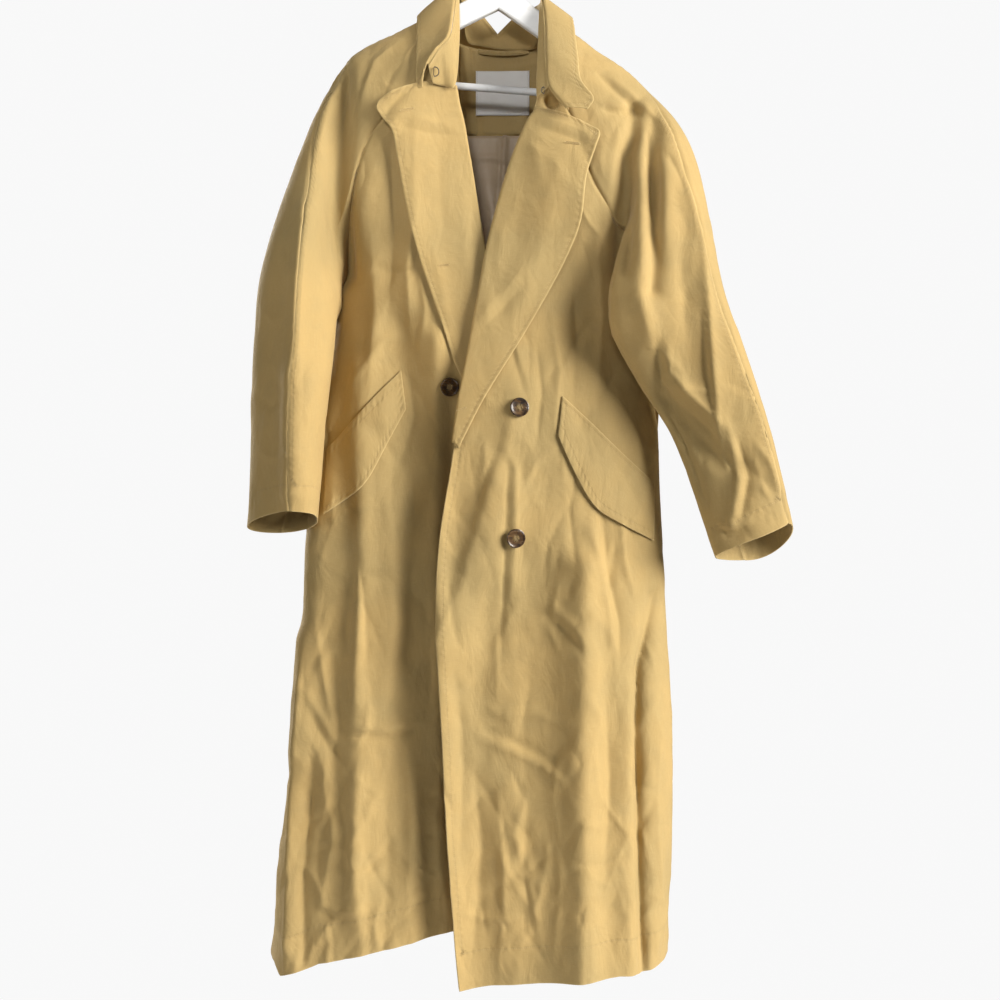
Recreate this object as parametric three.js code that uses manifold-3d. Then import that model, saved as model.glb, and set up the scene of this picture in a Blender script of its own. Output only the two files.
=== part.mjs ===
// A long double-breasted raglan trench coat hanging, open at the neck, on a flat clothes hanger.
// Millimetres, +Z up, fronts facing -Y. The origin is the inside top of the hanger hook's crook.
// "right" and "left" are the wearer's: the right front lies at -X, the left front closes over it.
import * as THREE from 'three';
import Module from 'manifold-3d';

const wasm = await Module();
wasm.setup();

// ---- driving dimensions -------------------------------------------------------------------
const CLOTH = 1.5;            // wall of the coat's cotton cloth
const FACED = 2.0;            // wall of the faced pieces: lapels, collar, flaps
const LINING = 1.0;           // wall of the lining, facing and loop
const SEAM_GAP = 0.3;         // left between neighbouring pieces
const TOP_CELLS = 8;          // grid cells from the neck to the underarm
const BODY_CELLS = 11;        // grid cells from the underarm to the hem
const SLEEVE_CELLS = 8;       // grid cells from the underarm to the cuff
const FRONT_COLUMNS = 10;
const BACK_COLUMNS = 14;
const SLEEVE_COLUMNS = 7;
const UNDERARM_ROW = 4;       // row of every table where the sleeve leaves the body

const BOARD = 13;             // thickness of the hanger's board
const ARM_HEIGHT = 30;        // height of the arms, square to their slope
const ARM_REACH = 192;        // half width of the hanger
const ARM_SLOPE = 30;         // degrees, at the middle
const ARM_DROOP = 0.00021;    // extra fall of the arms, per square millimetre of reach
const HANGER_TILT = 4.5;      // degrees, lower at +X
const HANGER_TOP = [-6, -75]; // x and z of the top of the board at its middle
const BAR_RADIUS = 5;
const BAR_DROP = 141;         // of the trouser bar's axis below the top of the board
const HOOK_WIRE = 4;          // diameter
const HOOK_RADIUS = 22;       // inside radius of the crook

const BUTTON_RADIUS = 12.5;
const BUTTON_THICKNESS = 4.5;
const BUTTON_SHANK = 0.6;     // of thread below a button, unless its row states another

const COLOURS = {
  cloth: ['#c9a865', 0.85], lining: ['#a08a6c', 0.5],
  label: ['#f2f1ec', 0.6], hanger: ['#ededea', 0.4], metal: ['#8f8f8c', 0.35],
  button: ['#3b2a1d', 0.3], eyelet: ['#3a3630', 0.45],
};

// Height of the board's upper edge at x, in its tilted place.
const armTop = (reach) => -Math.tan((ARM_SLOPE * Math.PI) / 180) * reach - ARM_DROOP * reach * reach;
function boardTop(x) {
  const tilt = (HANGER_TILT * Math.PI) / 180;
  let along = x - HANGER_TOP[0];
  for (let i = 0; i < 6; i += 1) {
    along = (x - HANGER_TOP[0] - Math.sin(tilt) * armTop(Math.abs(along))) / Math.cos(tilt);
  }
  return HANGER_TOP[1] - Math.sin(tilt) * along + Math.cos(tilt) * armTop(Math.abs(along));
}
const SHOULDER_REST = 3.0;    // middle of the shoulder's cloth above the board
const shoulder = (x) => [x, 0, boardTop(x) + SHOULDER_REST];

// ---- tables: one row for each station ------------------------------------------------------
// Raglan seams run from the neck to the underarm, side seams from the underarm to the hem.
const RIGHT_RAGLAN = [
  { front: [-80, -42, -172], back: [-70, 36, -140] },
  { front: [-125, -50, -232], back: [-115, 44, -215] },
  { front: [-180, -52, -298], back: [-160, 48, -290] },
  { front: [-207, -46, -398], back: [-200, 42, -400] },
  { front: [-226, 5, -520], back: [-226, 5, -520] },
];
const LEFT_RAGLAN = [
  { front: [62, -42, -185], back: [56, 38, -150] },
  { front: [88, -50, -270], back: [95, 46, -235] },
  { front: [114, -54, -347], back: [130, 50, -320] },
  { front: [150, -50, -412], back: [165, 46, -420] },
  { front: [206, -2, -530], back: [206, -2, -530] },
];
const RIGHT_SIDE = [
  [-257, 18, -700], [-270, 14, -900], [-284, 5, -1100], [-300, 0, -1245], [-312, 0, -1374],
];
const LEFT_SIDE = [
  [208, 18, -700], [217, 14, -905], [226, 8, -1090], [224, 2, -1240], [218, 0, -1372],
];

// Sleeves: the overarm seam, the underarm seam below the raglan, and the pulls that bow each
// half between them, at the overarm seam (top) and at the other seam (low).
const RIGHT_SLEEVE = [
  { over: shoulder(-64), front: { top: [0, -22, 0], low: [0, 0, 20] },
    back: { top: [0, 20, 0], low: [0, 0, 14] } },
  { over: shoulder(-135), front: { top: [0, -28, 0], low: [0, -4, 34] },
    back: { top: [0, 26, 0], low: [0, 2, 32] } },
  { over: shoulder(-210), front: { top: [0, -34, -2], low: [0, -8, 45] },
    back: { top: [-14, 34, 0], low: [-12, 4, 52] } },
  { over: [-246, -42, -272], front: { top: [8, -30, -30], low: [-6, -16, 30] },
    back: { top: [-42, 36, -6], low: [-58, 8, 46] } },
  { over: [-257, -98, -420], front: { top: [26, 4, -20], low: [18, -34, 10] },
    back: { top: [-92, 26, -6], low: [-112, 44, 4] } },
  { over: [-264, -116, -560], under: [-262, -12, -580], front: { top: [46, 26, 0], low: [56, -14, 0] },
    back: { top: [-84, 56, 0], low: [-96, 14, 0] } },
  { over: [-268, -118, -690], under: [-280, -8, -700], front: { top: [46, 28, 0], low: [52, -10, 0] },
    back: { top: [-78, 58, 0], low: [-88, 12, 0] } },
  { over: [-272, -114, -784], under: [-298, -14, -814], front: { top: [46, 24, -4], low: [54, -8, 4] },
    back: { top: [-62, 40, -6], low: [-76, 6, -2] } },
];
const LEFT_SLEEVE = [
  { over: shoulder(53), front: { top: [0, -22, 0], low: [0, 0, 24] },
    back: { top: [0, 20, 0], low: [0, 0, 12] } },
  { over: shoulder(118), front: { top: [0, -28, -2], low: [0, -2, 44] },
    back: { top: [0, 26, 0], low: [0, 2, 30] } },
  { over: shoulder(182), front: { top: [0, -36, 0], low: [6, -8, 52] },
    back: { top: [34, 34, -8], low: [26, 4, 54] } },
  { over: [224, -58, -303], front: { top: [-12, -24, -24], low: [4, -22, 40] },
    back: { top: [60, 32, 6], low: [72, 8, 60] } },
  { over: [266, -94, -490], front: { top: [-62, -20, 0], low: [-158, -124, 6] },
    back: { top: [44, 22, 0], low: [72, 42, 0] } },
  { over: [300, -100, -588], under: [232, -24, -612], front: { top: [-60, -12, -4], low: [-148, -60, 0] },
    back: { top: [44, 30, 0], low: [62, 36, 0] } },
  { over: [333, -100, -678], under: [278, -28, -705], front: { top: [-50, -10, -6], low: [-128, -44, 0] },
    back: { top: [30, 30, 0], low: [50, 26, 0] } },
  { over: [366, -84, -800], under: [318, -28, -850], front: { top: [-34, -22, -22], low: [-104, -42, 0] },
    back: { top: [26, 22, -6], low: [44, 22, -4] } },
];

// Fronts: the inner edge (neck, roll line, then front edge) and the pulls at each end of a row.
const RIGHT_FRONT = [
  { edge: [-66, -52, -184], side: [4, -4, -2], inner: [-4, 0, 2] },
  { edge: [-64, -49, -238], side: [20, -2, 0], inner: [-20, 0, 0] },
  { edge: [-50, -45, -300], side: [40, -8, 0], inner: [-40, -4, 0] },
  { edge: [-37, -44, -390], side: [50, -14, 0], inner: [-50, -8, 0] },
  { edge: [-18, -48, -490], side: [34, -58, 0], inner: [-90, -10, 0] },
  { edge: [49, -50, -705], side: [8, -92, 0], inner: [-120, -4, 0] },
  { edge: [58, -50, -900], side: [10, -94, 0], inner: [-120, -6, 0] },
  { edge: [58, -54, -1090], side: [8, -106, 0], inner: [-120, -12, 0] },
  { edge: [52, -60, -1225], side: [6, -120, 0], inner: [-120, -18, 0] },
  { edge: [42, -64, -1318], side: [6, -138, -22], inner: [-120, -20, 0] },
];
const LEFT_FRONT = [
  { edge: [50, -54, -196], side: [-4, -4, -2], inner: [4, 0, 2] },
  { edge: [40, -54, -250], side: [-14, -4, 0], inner: [14, 0, 0] },
  { edge: [13, -54, -320], side: [-30, -8, 0], inner: [30, -4, 0] },
  { edge: [-8, -56, -400], side: [-44, -14, 0], inner: [44, -8, 0] },
  { edge: [-35, -64, -515], side: [-62, -16, 0], inner: [80, -6, 0] },
  { edge: [-68, -70, -712], side: [-8, -84, 0], inner: [110, -2, 0] },
  { edge: [-89, -70, -880], side: [-8, -92, 0], inner: [110, -4, 0] },
  { edge: [-80, -84, -1100], side: [-6, -104, 0], inner: [110, -6, 0] },
  { edge: [-71, -95, -1250], side: [-4, -120, 0], inner: [110, -8, 0] },
  { edge: [-57, -104, -1395], side: [-4, -134, -4], inner: [110, -6, 10] },
];
const BACK = [
  { right: [30, 22, -8], left: [-30, 22, -6] },
  { right: [44, 16, 0], left: [-44, 14, 0] },
  { right: [70, 12, 0], left: [-70, 10, 0] },
  { right: [90, 24, 0], left: [-90, 20, 0] },
  { right: [40, 64, 0], left: [-40, 70, 0] },
  { right: [20, 54, 0], left: [-20, 56, 0] },
  { right: [14, 62, 0], left: [-14, 62, 0] },
  { right: [10, 88, 0], left: [-10, 84, 0] },
  { right: [8, 106, 0], left: [-8, 102, 0] },
  { right: [8, 116, 0], left: [-8, 112, 0] },
];

// Largest folds, as lines of x and z on the front or back, with half width and height
// (a negative height is a trough).
const FRONT_FOLDS = [
  { line: [[-222, -200], [-216, -330], [-215, -470]], width: 16, height: -20 },
  { line: [[-255, -400], [-268, -560], [-272, -760]], width: 16, height: 7 },
  { line: [[-268, -960], [-277, -1217], [-276, -1400]], width: 22, height: 13 },
  { line: [[-150, -540], [-140, -800], [-146, -1200]], width: 24, height: -14 },
  { line: [[-112, -560], [-104, -800], [-112, -1200]], width: 22, height: -9 },
  { line: [[-200, -600], [-190, -850], [-204, -1300]], width: 24, height: 13 },
  { line: [[172, -250], [160, -340], [150, -470]], width: 12, height: -10 },
  { line: [[196, -262], [196, -360], [186, -500]], width: 13, height: -8 },
  { line: [[200, -640], [245, -690], [290, -730]], width: 14, height: -8 },
  { line: [[199, -900], [174, -1000], [173, -1160], [177, -1390]], width: 13, height: -9 },
  { line: [[0, -760], [-30, -860], [-60, -960]], width: 26, height: 7 },
  { line: [[40, -860], [44, -1080], [46, -1390]], width: 26, height: -8 },
  { line: [[-30, -960], [-28, -1150], [-24, -1390]], width: 26, height: -8 },
  { line: [[104, -860], [97, -1100], [100, -1390]], width: 30, height: 15 },
  { line: [[-66, -960], [-68, -1150], [-56, -1380]], width: 16, height: 5 },
];
const BACK_FOLDS = [
  { line: [[-190, -420], [-180, -800], [-200, -1380]], width: 40, height: 11 },
  { line: [[-110, -500], [-100, -900], [-120, -1380]], width: 38, height: -12 },
  { line: [[-30, -620], [-35, -1000], [-40, -1380]], width: 42, height: 10 },
  { line: [[60, -560], [70, -900], [60, -1380]], width: 40, height: -12 },
  { line: [[150, -430], [140, -900], [150, -1380]], width: 40, height: 11 },
];

// Lapels: x and z of the roll line and of the free edge.
const RIGHT_LAPEL = [
  { roll: [-67, -226], free: [-146, -236], lift: 11 },
  { roll: [-65, -238], free: [-161, -246], lift: 11 },
  { roll: [-63, -250], free: [-168, -258], lift: 11 },
  { roll: [-59, -266], free: [-160, -272], lift: 11 },
  { roll: [-55, -286], free: [-147, -290], lift: 11 },
  { roll: [-48, -326], free: [-140, -326], lift: 9 },
  { roll: [-36, -400], free: [-126, -400], lift: 7 },
  { roll: [-25, -455], free: [-109, -462], lift: 4.5 },
  { roll: [-6, -530], free: [-82, -541], lift: 1 },
  { roll: [14, -600], free: [-58, -607], lift: 0 },
  { roll: [32, -655], free: [-12, -664], lift: 0 },
  { roll: [46, -698], free: [36, -706], lift: 0 },
];
const LEFT_LAPEL = [
  { roll: [45, -257], free: [114, -285], lift: 12 },
  { roll: [41, -264], free: [123, -294], lift: 12 },
  { roll: [32, -278], free: [117, -314], lift: 12 },
  { roll: [12, -327], free: [105, -352], lift: 11 },
  { roll: [-7, -390], free: [98, -408], lift: 9 },
  { roll: [-23, -455], free: [82, -450], lift: 7 },
  { roll: [-37, -530], free: [56, -500], lift: 4.5 },
  { roll: [-49, -590], free: [20, -562], lift: 1 },
  { roll: [-59, -640], free: [-26, -636], lift: 0 },
  { roll: [-67, -696], free: [-61, -704], lift: 0 },
];

// Collar: the neck seam, the crest where the collar turns over, and the leaf's free edge.
const COLLAR = [
  { seam: [-94, -63, -227], crest: [-100, -68, -205], fall: [-107, -63, -231] },
  { seam: [-80, -60, -229], crest: [-87, -66, -183], fall: [-115, -61, -231] },
  { seam: [-65, -62, -228], crest: [-73, -59, -165], fall: [-116, -59, -212] },
  { seam: [-60, -42, -164], crest: [-68, -36, -126], fall: [-116, -48, -177] },
  { seam: [-61, -11, -98], crest: [-65, -12, -86], fall: [-117, -16, -127] },
  { seam: [-58, 11, -98], crest: [-59, 8, -76], fall: [-116, 6, -123] },
  { seam: [-52, 34, -139], crest: [-50, 30, -90], fall: [-100, 44, -146] },
  { seam: [-34, 47, -143], crest: [-32, 48, -102], fall: [-58, 76, -160] },
  { seam: [-8, 49, -147], crest: [-10, 52, -128], fall: [-10, 84, -182] },
  { seam: [24, 47, -149], crest: [16, 48, -104], fall: [44, 76, -166] },
  { seam: [42, 34, -147], crest: [42, 30, -97], fall: [84, 46, -152] },
  { seam: [48, 11, -113], crest: [48, 8, -99], fall: [90, 8, -128] },
  { seam: [46, -11, -114], crest: [51, -12, -101], fall: [91, -18, -130] },
  { seam: [43, -44, -178], crest: [54, -37, -146], fall: [95, -56, -188] },
  { seam: [41, -60, -222], crest: [54, -58, -190], fall: [98, -76, -226] },
  { seam: [41, -68, -246], crest: [57, -72, -233], fall: [108, -84, -251] },
  { crest: [79, -84, -266], fall: [114, -86, -263] },
];
const STAND_ROWS = [0, 16];   // rows of the collar that the stand spans
const LEAF_ROWS = [2, 17];    // rows that the leaf spans

// Pocket flaps: x and z of the sewn upper line and of the free lower edge.
const RIGHT_FLAP = [
  { top: [-137, -599], low: [-131, -650] },
  { top: [-160, -622], low: [-152, -690] },
  { top: [-188, -652], low: [-182, -746] },
  { top: [-214, -680], low: [-214, -772] },
  { top: [-236, -702], low: [-240, -789] },
];
const LEFT_FLAP = [
  { top: [75, -634], low: [69, -686] },
  { top: [108, -664], low: [90, -733] },
  { top: [142, -697], low: [117, -778] },
  { top: [174, -726], low: [152, -801] },
  { top: [200, -748], low: [198, -824] },
];

// Inside the neck: x and z of the corners of the flat pieces against the back.
const FACING = { top: -158, low: -264, right: -62, left: 48 };
const LINING_PANEL = { top: -266, low: -560, right: -150, left: 135 };
const LABEL = { top: -177, low: -238, right: -40, left: 34 };
const LOOP = { right: -37, left: 33, height: -150, width: 7, sag: 8 };

const BUTTONS = [
  { name: 'button_left_front_upper', at: [18, -650], on: 'left_front' },
  { name: 'button_left_front_lower', at: [13, -819], on: 'left_front', shank: 2.4 },
  { name: 'button_right_front_upper', at: [-74, -620], on: 'right_front' },
  { name: 'button_right_front_lower', at: [-60, -789], on: 'right_front' },
];

// ---- vectors, curves and grids --------------------------------------------------------------
const add = (a, b) => a.map((v, i) => v + b[i]);
const sub = (a, b) => a.map((v, i) => v - b[i]);
const times = (a, s) => a.map((v) => v * s);
const length = (a) => Math.hypot(...a);
const unit = (a) => times(a, 1 / (length(a) || 1));
const cross = (a, b) => [a[1] * b[2] - a[2] * b[1], a[2] * b[0] - a[0] * b[2], a[0] * b[1] - a[1] * b[0]];

// A smooth curve through the points of a list, at a place counted in rows, with an optional
// corner row where it may turn sharply.
function through(list, place, corner = -1) {
  const last = list.length - 1;
  const i = Math.min(Math.max(Math.floor(place), 0), last - 1);
  const t = place - i;
  const p1 = list[i];
  const p2 = list[i + 1];
  const p0 = i === 0 || i === corner ? sub(times(p1, 2), p2) : list[i - 1];
  const p3 = i + 1 === last || i + 1 === corner ? sub(times(p2, 2), p1) : list[i + 2];
  return p1.map((v, k) => 0.5 * (2 * v + (p2[k] - p0[k]) * t
    + (2 * p0[k] - 5 * v + 4 * p2[k] - p3[k]) * t * t
    + (3 * v - p0[k] - 3 * p2[k] + p3[k]) * t * t * t));
}

function bow(start, startPull, endPull, end, t) {
  const s = 1 - t;
  const weights = [s * s * s, 3 * s * s * t, 3 * s * t * t, t * t * t];
  const points = [start, add(start, startPull), add(end, endPull), end];
  return points.reduce((sum, p, i) => add(sum, times(p, weights[i])), [0, 0, 0]);
}

// Places of the grid's rows: the same number of cells above the underarm on every piece.
function rowPlaces(rows, lowCells) {
  const places = [];
  for (let i = 0; i <= TOP_CELLS; i += 1) places.push((UNDERARM_ROW * i) / TOP_CELLS);
  const below = rows - 1 - UNDERARM_ROW;
  for (let i = 1; i <= lowCells; i += 1) places.push(UNDERARM_ROW + (below * i) / lowCells);
  return places;
}

function grid(places, columns, point) {
  return places.map((place) => Array.from({ length: columns + 1 }, (_, i) => point(place, i / columns)));
}

function frontGrid(table, raglan, side) {
  const seam = [...raglan.map((row) => row.front), ...side];
  const edge = table.map((row) => row.edge);
  const pullSide = table.map((row) => row.side);
  const pullInner = table.map((row) => row.inner);
  return grid(rowPlaces(table.length, BODY_CELLS), FRONT_COLUMNS, (place, t) => bow(
    through(seam, place, UNDERARM_ROW), through(pullSide, place),
    through(pullInner, place), through(edge, place), t));
}

function backGrid() {
  const right = [...RIGHT_RAGLAN.map((row) => row.back), ...RIGHT_SIDE];
  const left = [...LEFT_RAGLAN.map((row) => row.back), ...LEFT_SIDE];
  return grid(rowPlaces(BACK.length, BODY_CELLS), BACK_COLUMNS, (place, t) => bow(
    through(right, place, UNDERARM_ROW), through(BACK.map((row) => row.right), place),
    through(BACK.map((row) => row.left), place), through(left, place, UNDERARM_ROW), t));
}

function sleeveGrid(table, raglan, half) {
  const seam = [...raglan.map((row) => row[half]), ...table.slice(UNDERARM_ROW + 1).map((row) => row.under)];
  const over = table.map((row) => row.over);
  return grid(rowPlaces(table.length, SLEEVE_CELLS), SLEEVE_COLUMNS, (place, t) => bow(
    through(over, place), through(table.map((row) => row[half].top), place),
    through(table.map((row) => row[half].low), place), through(seam, place, UNDERARM_ROW), t));
}

// Every grid is turned so that its cells face outwards, then the grids share their normals
// where they meet, so the walls of neighbouring pieces stay in line.
function flipRows(points) {
  return points.map((row) => [...row].reverse());
}

const key = (p) => p.map((v) => Math.round(v * 100)).join(',');

function sharedNormals(grids) {
  const sums = new Map();
  for (const points of grids) {
    for (let j = 0; j + 1 < points.length; j += 1) {
      for (let i = 0; i + 1 < points[j].length; i += 1) {
        const [a, b, c, d] = [points[j][i], points[j][i + 1], points[j + 1][i + 1], points[j + 1][i]];
        const n = cross(sub(c, a), sub(b, d));
        for (const p of [a, b, c, d]) sums.set(key(p), add(sums.get(key(p)) ?? [0, 0, 0], n));
      }
    }
  }
  return grids.map((points) => points.map((row) => row.map((p) => unit(sums.get(key(p))))));
}

function lineDistance(x, z, line) {
  let best = Infinity;
  for (let i = 0; i + 1 < line.length; i += 1) {
    const [ax, az] = line[i];
    const [bx, bz] = line[i + 1];
    const t = ((x - ax) * (bx - ax) + (z - az) * (bz - az)) / ((bx - ax) ** 2 + (bz - az) ** 2);
    const s = Math.min(Math.max(t, 0), 1);
    best = Math.min(best, Math.hypot(x - ax - (bx - ax) * s, z - az - (bz - az) * s));
  }
  return best;
}

function foldHeight(p, n) {
  const folds = n[1] < 0 ? FRONT_FOLDS : BACK_FOLDS;
  return folds.reduce((sum, fold) => {
    const d = lineDistance(p[0], p[2], fold.line) / fold.width;
    return sum + fold.height * Math.exp(-d * d);
  }, 0) * Math.abs(n[1]);
}

function folded(grids) {
  const normals = sharedNormals(grids);
  return grids.map((points, g) => points.map((row, j) => row.map((p, i) => {
    const n = normals[g][j][i];
    return add(p, times(n, foldHeight(p, n)));
  })));
}

// Moves the rim of a grid inwards by half of the seam gap, along its own rows and columns.
// The underarm corners, where four pieces meet in a fold, are cut back further.
const UNDERARM_CUTS = [
  { corner: RIGHT_RAGLAN[UNDERARM_ROW].front, depth: 2.5, reach: 14 },
  { corner: LEFT_RAGLAN[UNDERARM_ROW].front, depth: 3, reach: 100 },
];

function inset(points) {
  const rows = points.length - 1;
  const columns = points[0].length - 1;
  const cut = (p) => UNDERARM_CUTS.reduce((sum, { corner, depth, reach }) => sum
    + depth * Math.exp(-((length(sub(p, corner)) / reach) ** 2)), SEAM_GAP / 2);
  const nudge = (p, q) => times(unit(sub(q, p)), cut(p));
  return points.map((row, j) => row.map((p, i) => {
    let moved = p;
    if (i === 0) moved = add(moved, nudge(p, row[1]));
    if (i === columns) moved = add(moved, nudge(p, row[columns - 1]));
    if (j === 0) moved = add(moved, nudge(p, points[1][i]));
    if (j === rows) moved = add(moved, nudge(p, points[rows - 1][i]));
    return moved;
  }));
}

function wall(points, normals, thickness) {
  const rows = points.length;
  const columns = points[0].length;
  const positions = [];
  for (const side of [0.5, -0.5]) {
    points.forEach((row, j) => row.forEach((p, i) => {
      positions.push(...add(p, times(normals[j][i], side * thickness)));
    }));
  }
  const at = (j, i, inner) => (inner ? rows * columns : 0) + j * columns + i;
  const index = [];
  const quad = (a, b, c, d) => index.push(a, b, c, a, c, d);
  for (let j = 0; j + 1 < rows; j += 1) {
    for (let i = 0; i + 1 < columns; i += 1) {
      quad(at(j, i, 0), at(j + 1, i, 0), at(j + 1, i + 1, 0), at(j, i + 1, 0));
      quad(at(j, i, 1), at(j, i + 1, 1), at(j + 1, i + 1, 1), at(j + 1, i, 1));
    }
  }
  for (let i = 0; i + 1 < columns; i += 1) {
    quad(at(0, i, 0), at(0, i + 1, 0), at(0, i + 1, 1), at(0, i, 1));
    quad(at(rows - 1, i + 1, 0), at(rows - 1, i, 0), at(rows - 1, i, 1), at(rows - 1, i + 1, 1));
  }
  for (let j = 0; j + 1 < rows; j += 1) {
    quad(at(j + 1, 0, 0), at(j, 0, 0), at(j, 0, 1), at(j + 1, 0, 1));
    quad(at(j, columns - 1, 0), at(j + 1, columns - 1, 0), at(j + 1, columns - 1, 1), at(j, columns - 1, 1));
  }
  const geometry = new THREE.BufferGeometry();
  geometry.setAttribute('position', new THREE.Float32BufferAttribute(positions, 3));
  geometry.setIndex(index);
  return geometry;
}

function gridWall(points, thickness) {
  return wall(points, sharedNormals([points])[0], thickness);
}

// ---- the model ------------------------------------------------------------------------------
const coat = new THREE.Group();

function place(name, geometry, colour) {
  const [hex, roughness] = COLOURS[colour];
  const metalness = colour === 'metal' ? 0.9 : 0;
  const material = new THREE.MeshStandardMaterial({ color: hex, roughness, metalness });
  const mesh = new THREE.Mesh(geometry, material);
  mesh.name = name;
  coat.add(mesh);
  return mesh;
}

// The body and sleeves are one continuous form, cut into its sewn pieces.
const names = ['right_front', 'left_front', 'back', 'right_sleeve_front', 'right_sleeve_back',
  'left_sleeve_front', 'left_sleeve_back'];
const formed = folded([
  frontGrid(RIGHT_FRONT, RIGHT_RAGLAN, RIGHT_SIDE),
  flipRows(frontGrid(LEFT_FRONT, LEFT_RAGLAN, LEFT_SIDE)),
  flipRows(backGrid()),
  sleeveGrid(RIGHT_SLEEVE, RIGHT_RAGLAN, 'front'),
  flipRows(sleeveGrid(RIGHT_SLEEVE, RIGHT_RAGLAN, 'back')),
  flipRows(sleeveGrid(LEFT_SLEEVE, LEFT_RAGLAN, 'front')),
  sleeveGrid(LEFT_SLEEVE, LEFT_RAGLAN, 'back'),
]);
const normals = sharedNormals(formed);
names.forEach((name, i) => place(name, wall(inset(formed[i]), normals[i], CLOTH), 'cloth'));
const surface = Object.fromEntries(
  names.map((name, i) => [name, { points: formed[i], normals: normals[i] }]));

// The point and normal of the foremost (or, inside, the hindmost) of some grids at x and z.
function onto(x, z, pieces, hindmost = false) {
  let best = null;
  for (const name of pieces) {
    const { points, normals: n } = surface[name];
    for (let j = 0; j + 1 < points.length; j += 1) {
      for (let i = 0; i + 1 < points[j].length; i += 1) {
        const corners = [[j, i], [j, i + 1], [j + 1, i + 1], [j + 1, i]];
        for (const [a, b, c] of [[0, 1, 2], [0, 2, 3]]) {
          const [p, q, r] = [a, b, c].map((k) => points[corners[k][0]][corners[k][1]]);
          const area = (q[0] - p[0]) * (r[2] - p[2]) - (r[0] - p[0]) * (q[2] - p[2]);
          if (Math.abs(area) < 1e-6) continue;
          const v = ((x - p[0]) * (r[2] - p[2]) - (r[0] - p[0]) * (z - p[2])) / area;
          const w = ((q[0] - p[0]) * (z - p[2]) - (x - p[0]) * (q[2] - p[2])) / area;
          if (v < -1e-3 || w < -1e-3 || v + w > 1.001) continue;
          const y = p[1] + (q[1] - p[1]) * v + (r[1] - p[1]) * w;
          if (best && (hindmost ? y < best.point[1] : y > best.point[1])) continue;
          const [np, nq, nr] = [a, b, c].map((k) => n[corners[k][0]][corners[k][1]]);
          const normal = unit(add(add(times(np, 1 - v - w), times(nq, v)), times(nr, w)));
          best = { point: [x, y, z], normal };
        }
      }
    }
  }
  return best;
}

// A point that height above the cloth, or above the cloth's rim where it lies just past it.
function lifted(x, z, pieces, height) {
  const outwards = pieces[0].startsWith('right') ? -1 : 1;
  for (let step = 0; step <= 24; step += 1) {
    const found = onto(x + outwards * step, z, pieces);
    if (found) return add([x, found.point[1], z], times(found.normal, height));
  }
  throw new Error(`no cloth below ${x.toFixed(0)}, ${z.toFixed(0)}`);
}

// Lapels and flaps lie on the cloth below them, a seam gap clear of it.
const LAID = CLOTH / 2 + FACED / 2 + SEAM_GAP;

function laidGrid(table, startOf, endOf, rows, columns, pieces, heightAt, bulge = 0) {
  const start = table.map((row) => startOf(row));
  const end = table.map((row) => endOf(row));
  const heights = table.map((row) => [row.lift ?? 0]);
  const last = table.length - 1;
  return Array.from({ length: rows + 1 }, (_, j) => {
    const at = (last * j) / rows;
    const [a, b, [lift]] = [through(start, at), through(end, at), through(heights, at)];
    return Array.from({ length: columns + 1 }, (__, i) => {
      const t = i / columns;
      const raise = bulge * Math.sin(Math.PI * t) * Math.max(0, 1 - at);
      const [x, z] = [a[0] + (b[0] - a[0]) * t, a[1] + (b[1] - a[1]) * t + raise];
      return lifted(x, z, pieces, heightAt(t, lift));
    });
  });
}

const ROLL_RISE = 0.6;        // extra height of a lapel at its roll, and again out to its edge
const ROLL_LIFT = 0.25;       // part of a row's lift that its roll takes
const rollHeight = (t, lift) => LAID + ROLL_RISE * (1 + t) + lift * (ROLL_LIFT + (1 - ROLL_LIFT) * t);
const LAPEL_CELLS = [12, 4];
const FLAP_CELLS = [9, 5];
const RIGHT_GORGE = 9;        // how far the upper edge of each lapel bows upwards
const LEFT_GORGE = 4;

const rightLapel = laidGrid(RIGHT_LAPEL, (row) => row.roll, (row) => row.free, ...LAPEL_CELLS,
  ['right_front', 'right_sleeve_front'], rollHeight, RIGHT_GORGE);
place('right_lapel', gridWall(inset(flipRows(rightLapel)), FACED), 'cloth');
const leftLapel = laidGrid(LEFT_LAPEL, (row) => row.roll, (row) => row.free, ...LAPEL_CELLS,
  ['left_front', 'left_sleeve_front'], rollHeight, LEFT_GORGE);
place('left_lapel', gridWall(inset(leftLapel), FACED), 'cloth');

const FLAP_RISE = 1.8;        // extra height of a flap at its sewn line
const FLAP_SPRING = 1.5;      // and more at its free edge
const flapHeight = (t) => LAID + FLAP_RISE + FLAP_SPRING * t;
const rightFlap = laidGrid(RIGHT_FLAP, (row) => row.top, (row) => row.low, ...FLAP_CELLS,
  ['right_front'], flapHeight);
place('right_pocket_flap', gridWall(rightFlap, FACED), 'cloth');
const leftFlap = laidGrid(LEFT_FLAP, (row) => row.top, (row) => row.low, ...FLAP_CELLS,
  ['left_front'], flapHeight);
place('left_pocket_flap', gridWall(flipRows(leftFlap), FACED), 'cloth');

// The collar: a stand up to the crest and a leaf that falls outside it.
const COLLAR_CELLS = 26;      // along its length
const NECK_MIDDLE = [-8, -2]; // x and y of the point that the collar curves round
const LEAF_CLEAR = 2.4;       // outwards and upwards, from the stand's crest to the leaf
const LEAF_PULLS = { out: 12, up: 4, fall: 16 }; // how the leaf bows over the crest

function collarStand() {
  const rows = COLLAR.slice(...STAND_ROWS);
  return Array.from({ length: COLLAR_CELLS + 1 }, (_, j) => {
    const at = ((rows.length - 1) * j) / COLLAR_CELLS;
    const low = through(rows.map((row) => row.seam), at);
    const high = through(rows.map((row) => row.crest), at);
    return [0, 1, 2, 3].map((i) => add(times(low, 1 - i / 3), times(high, i / 3)));
  });
}

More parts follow.
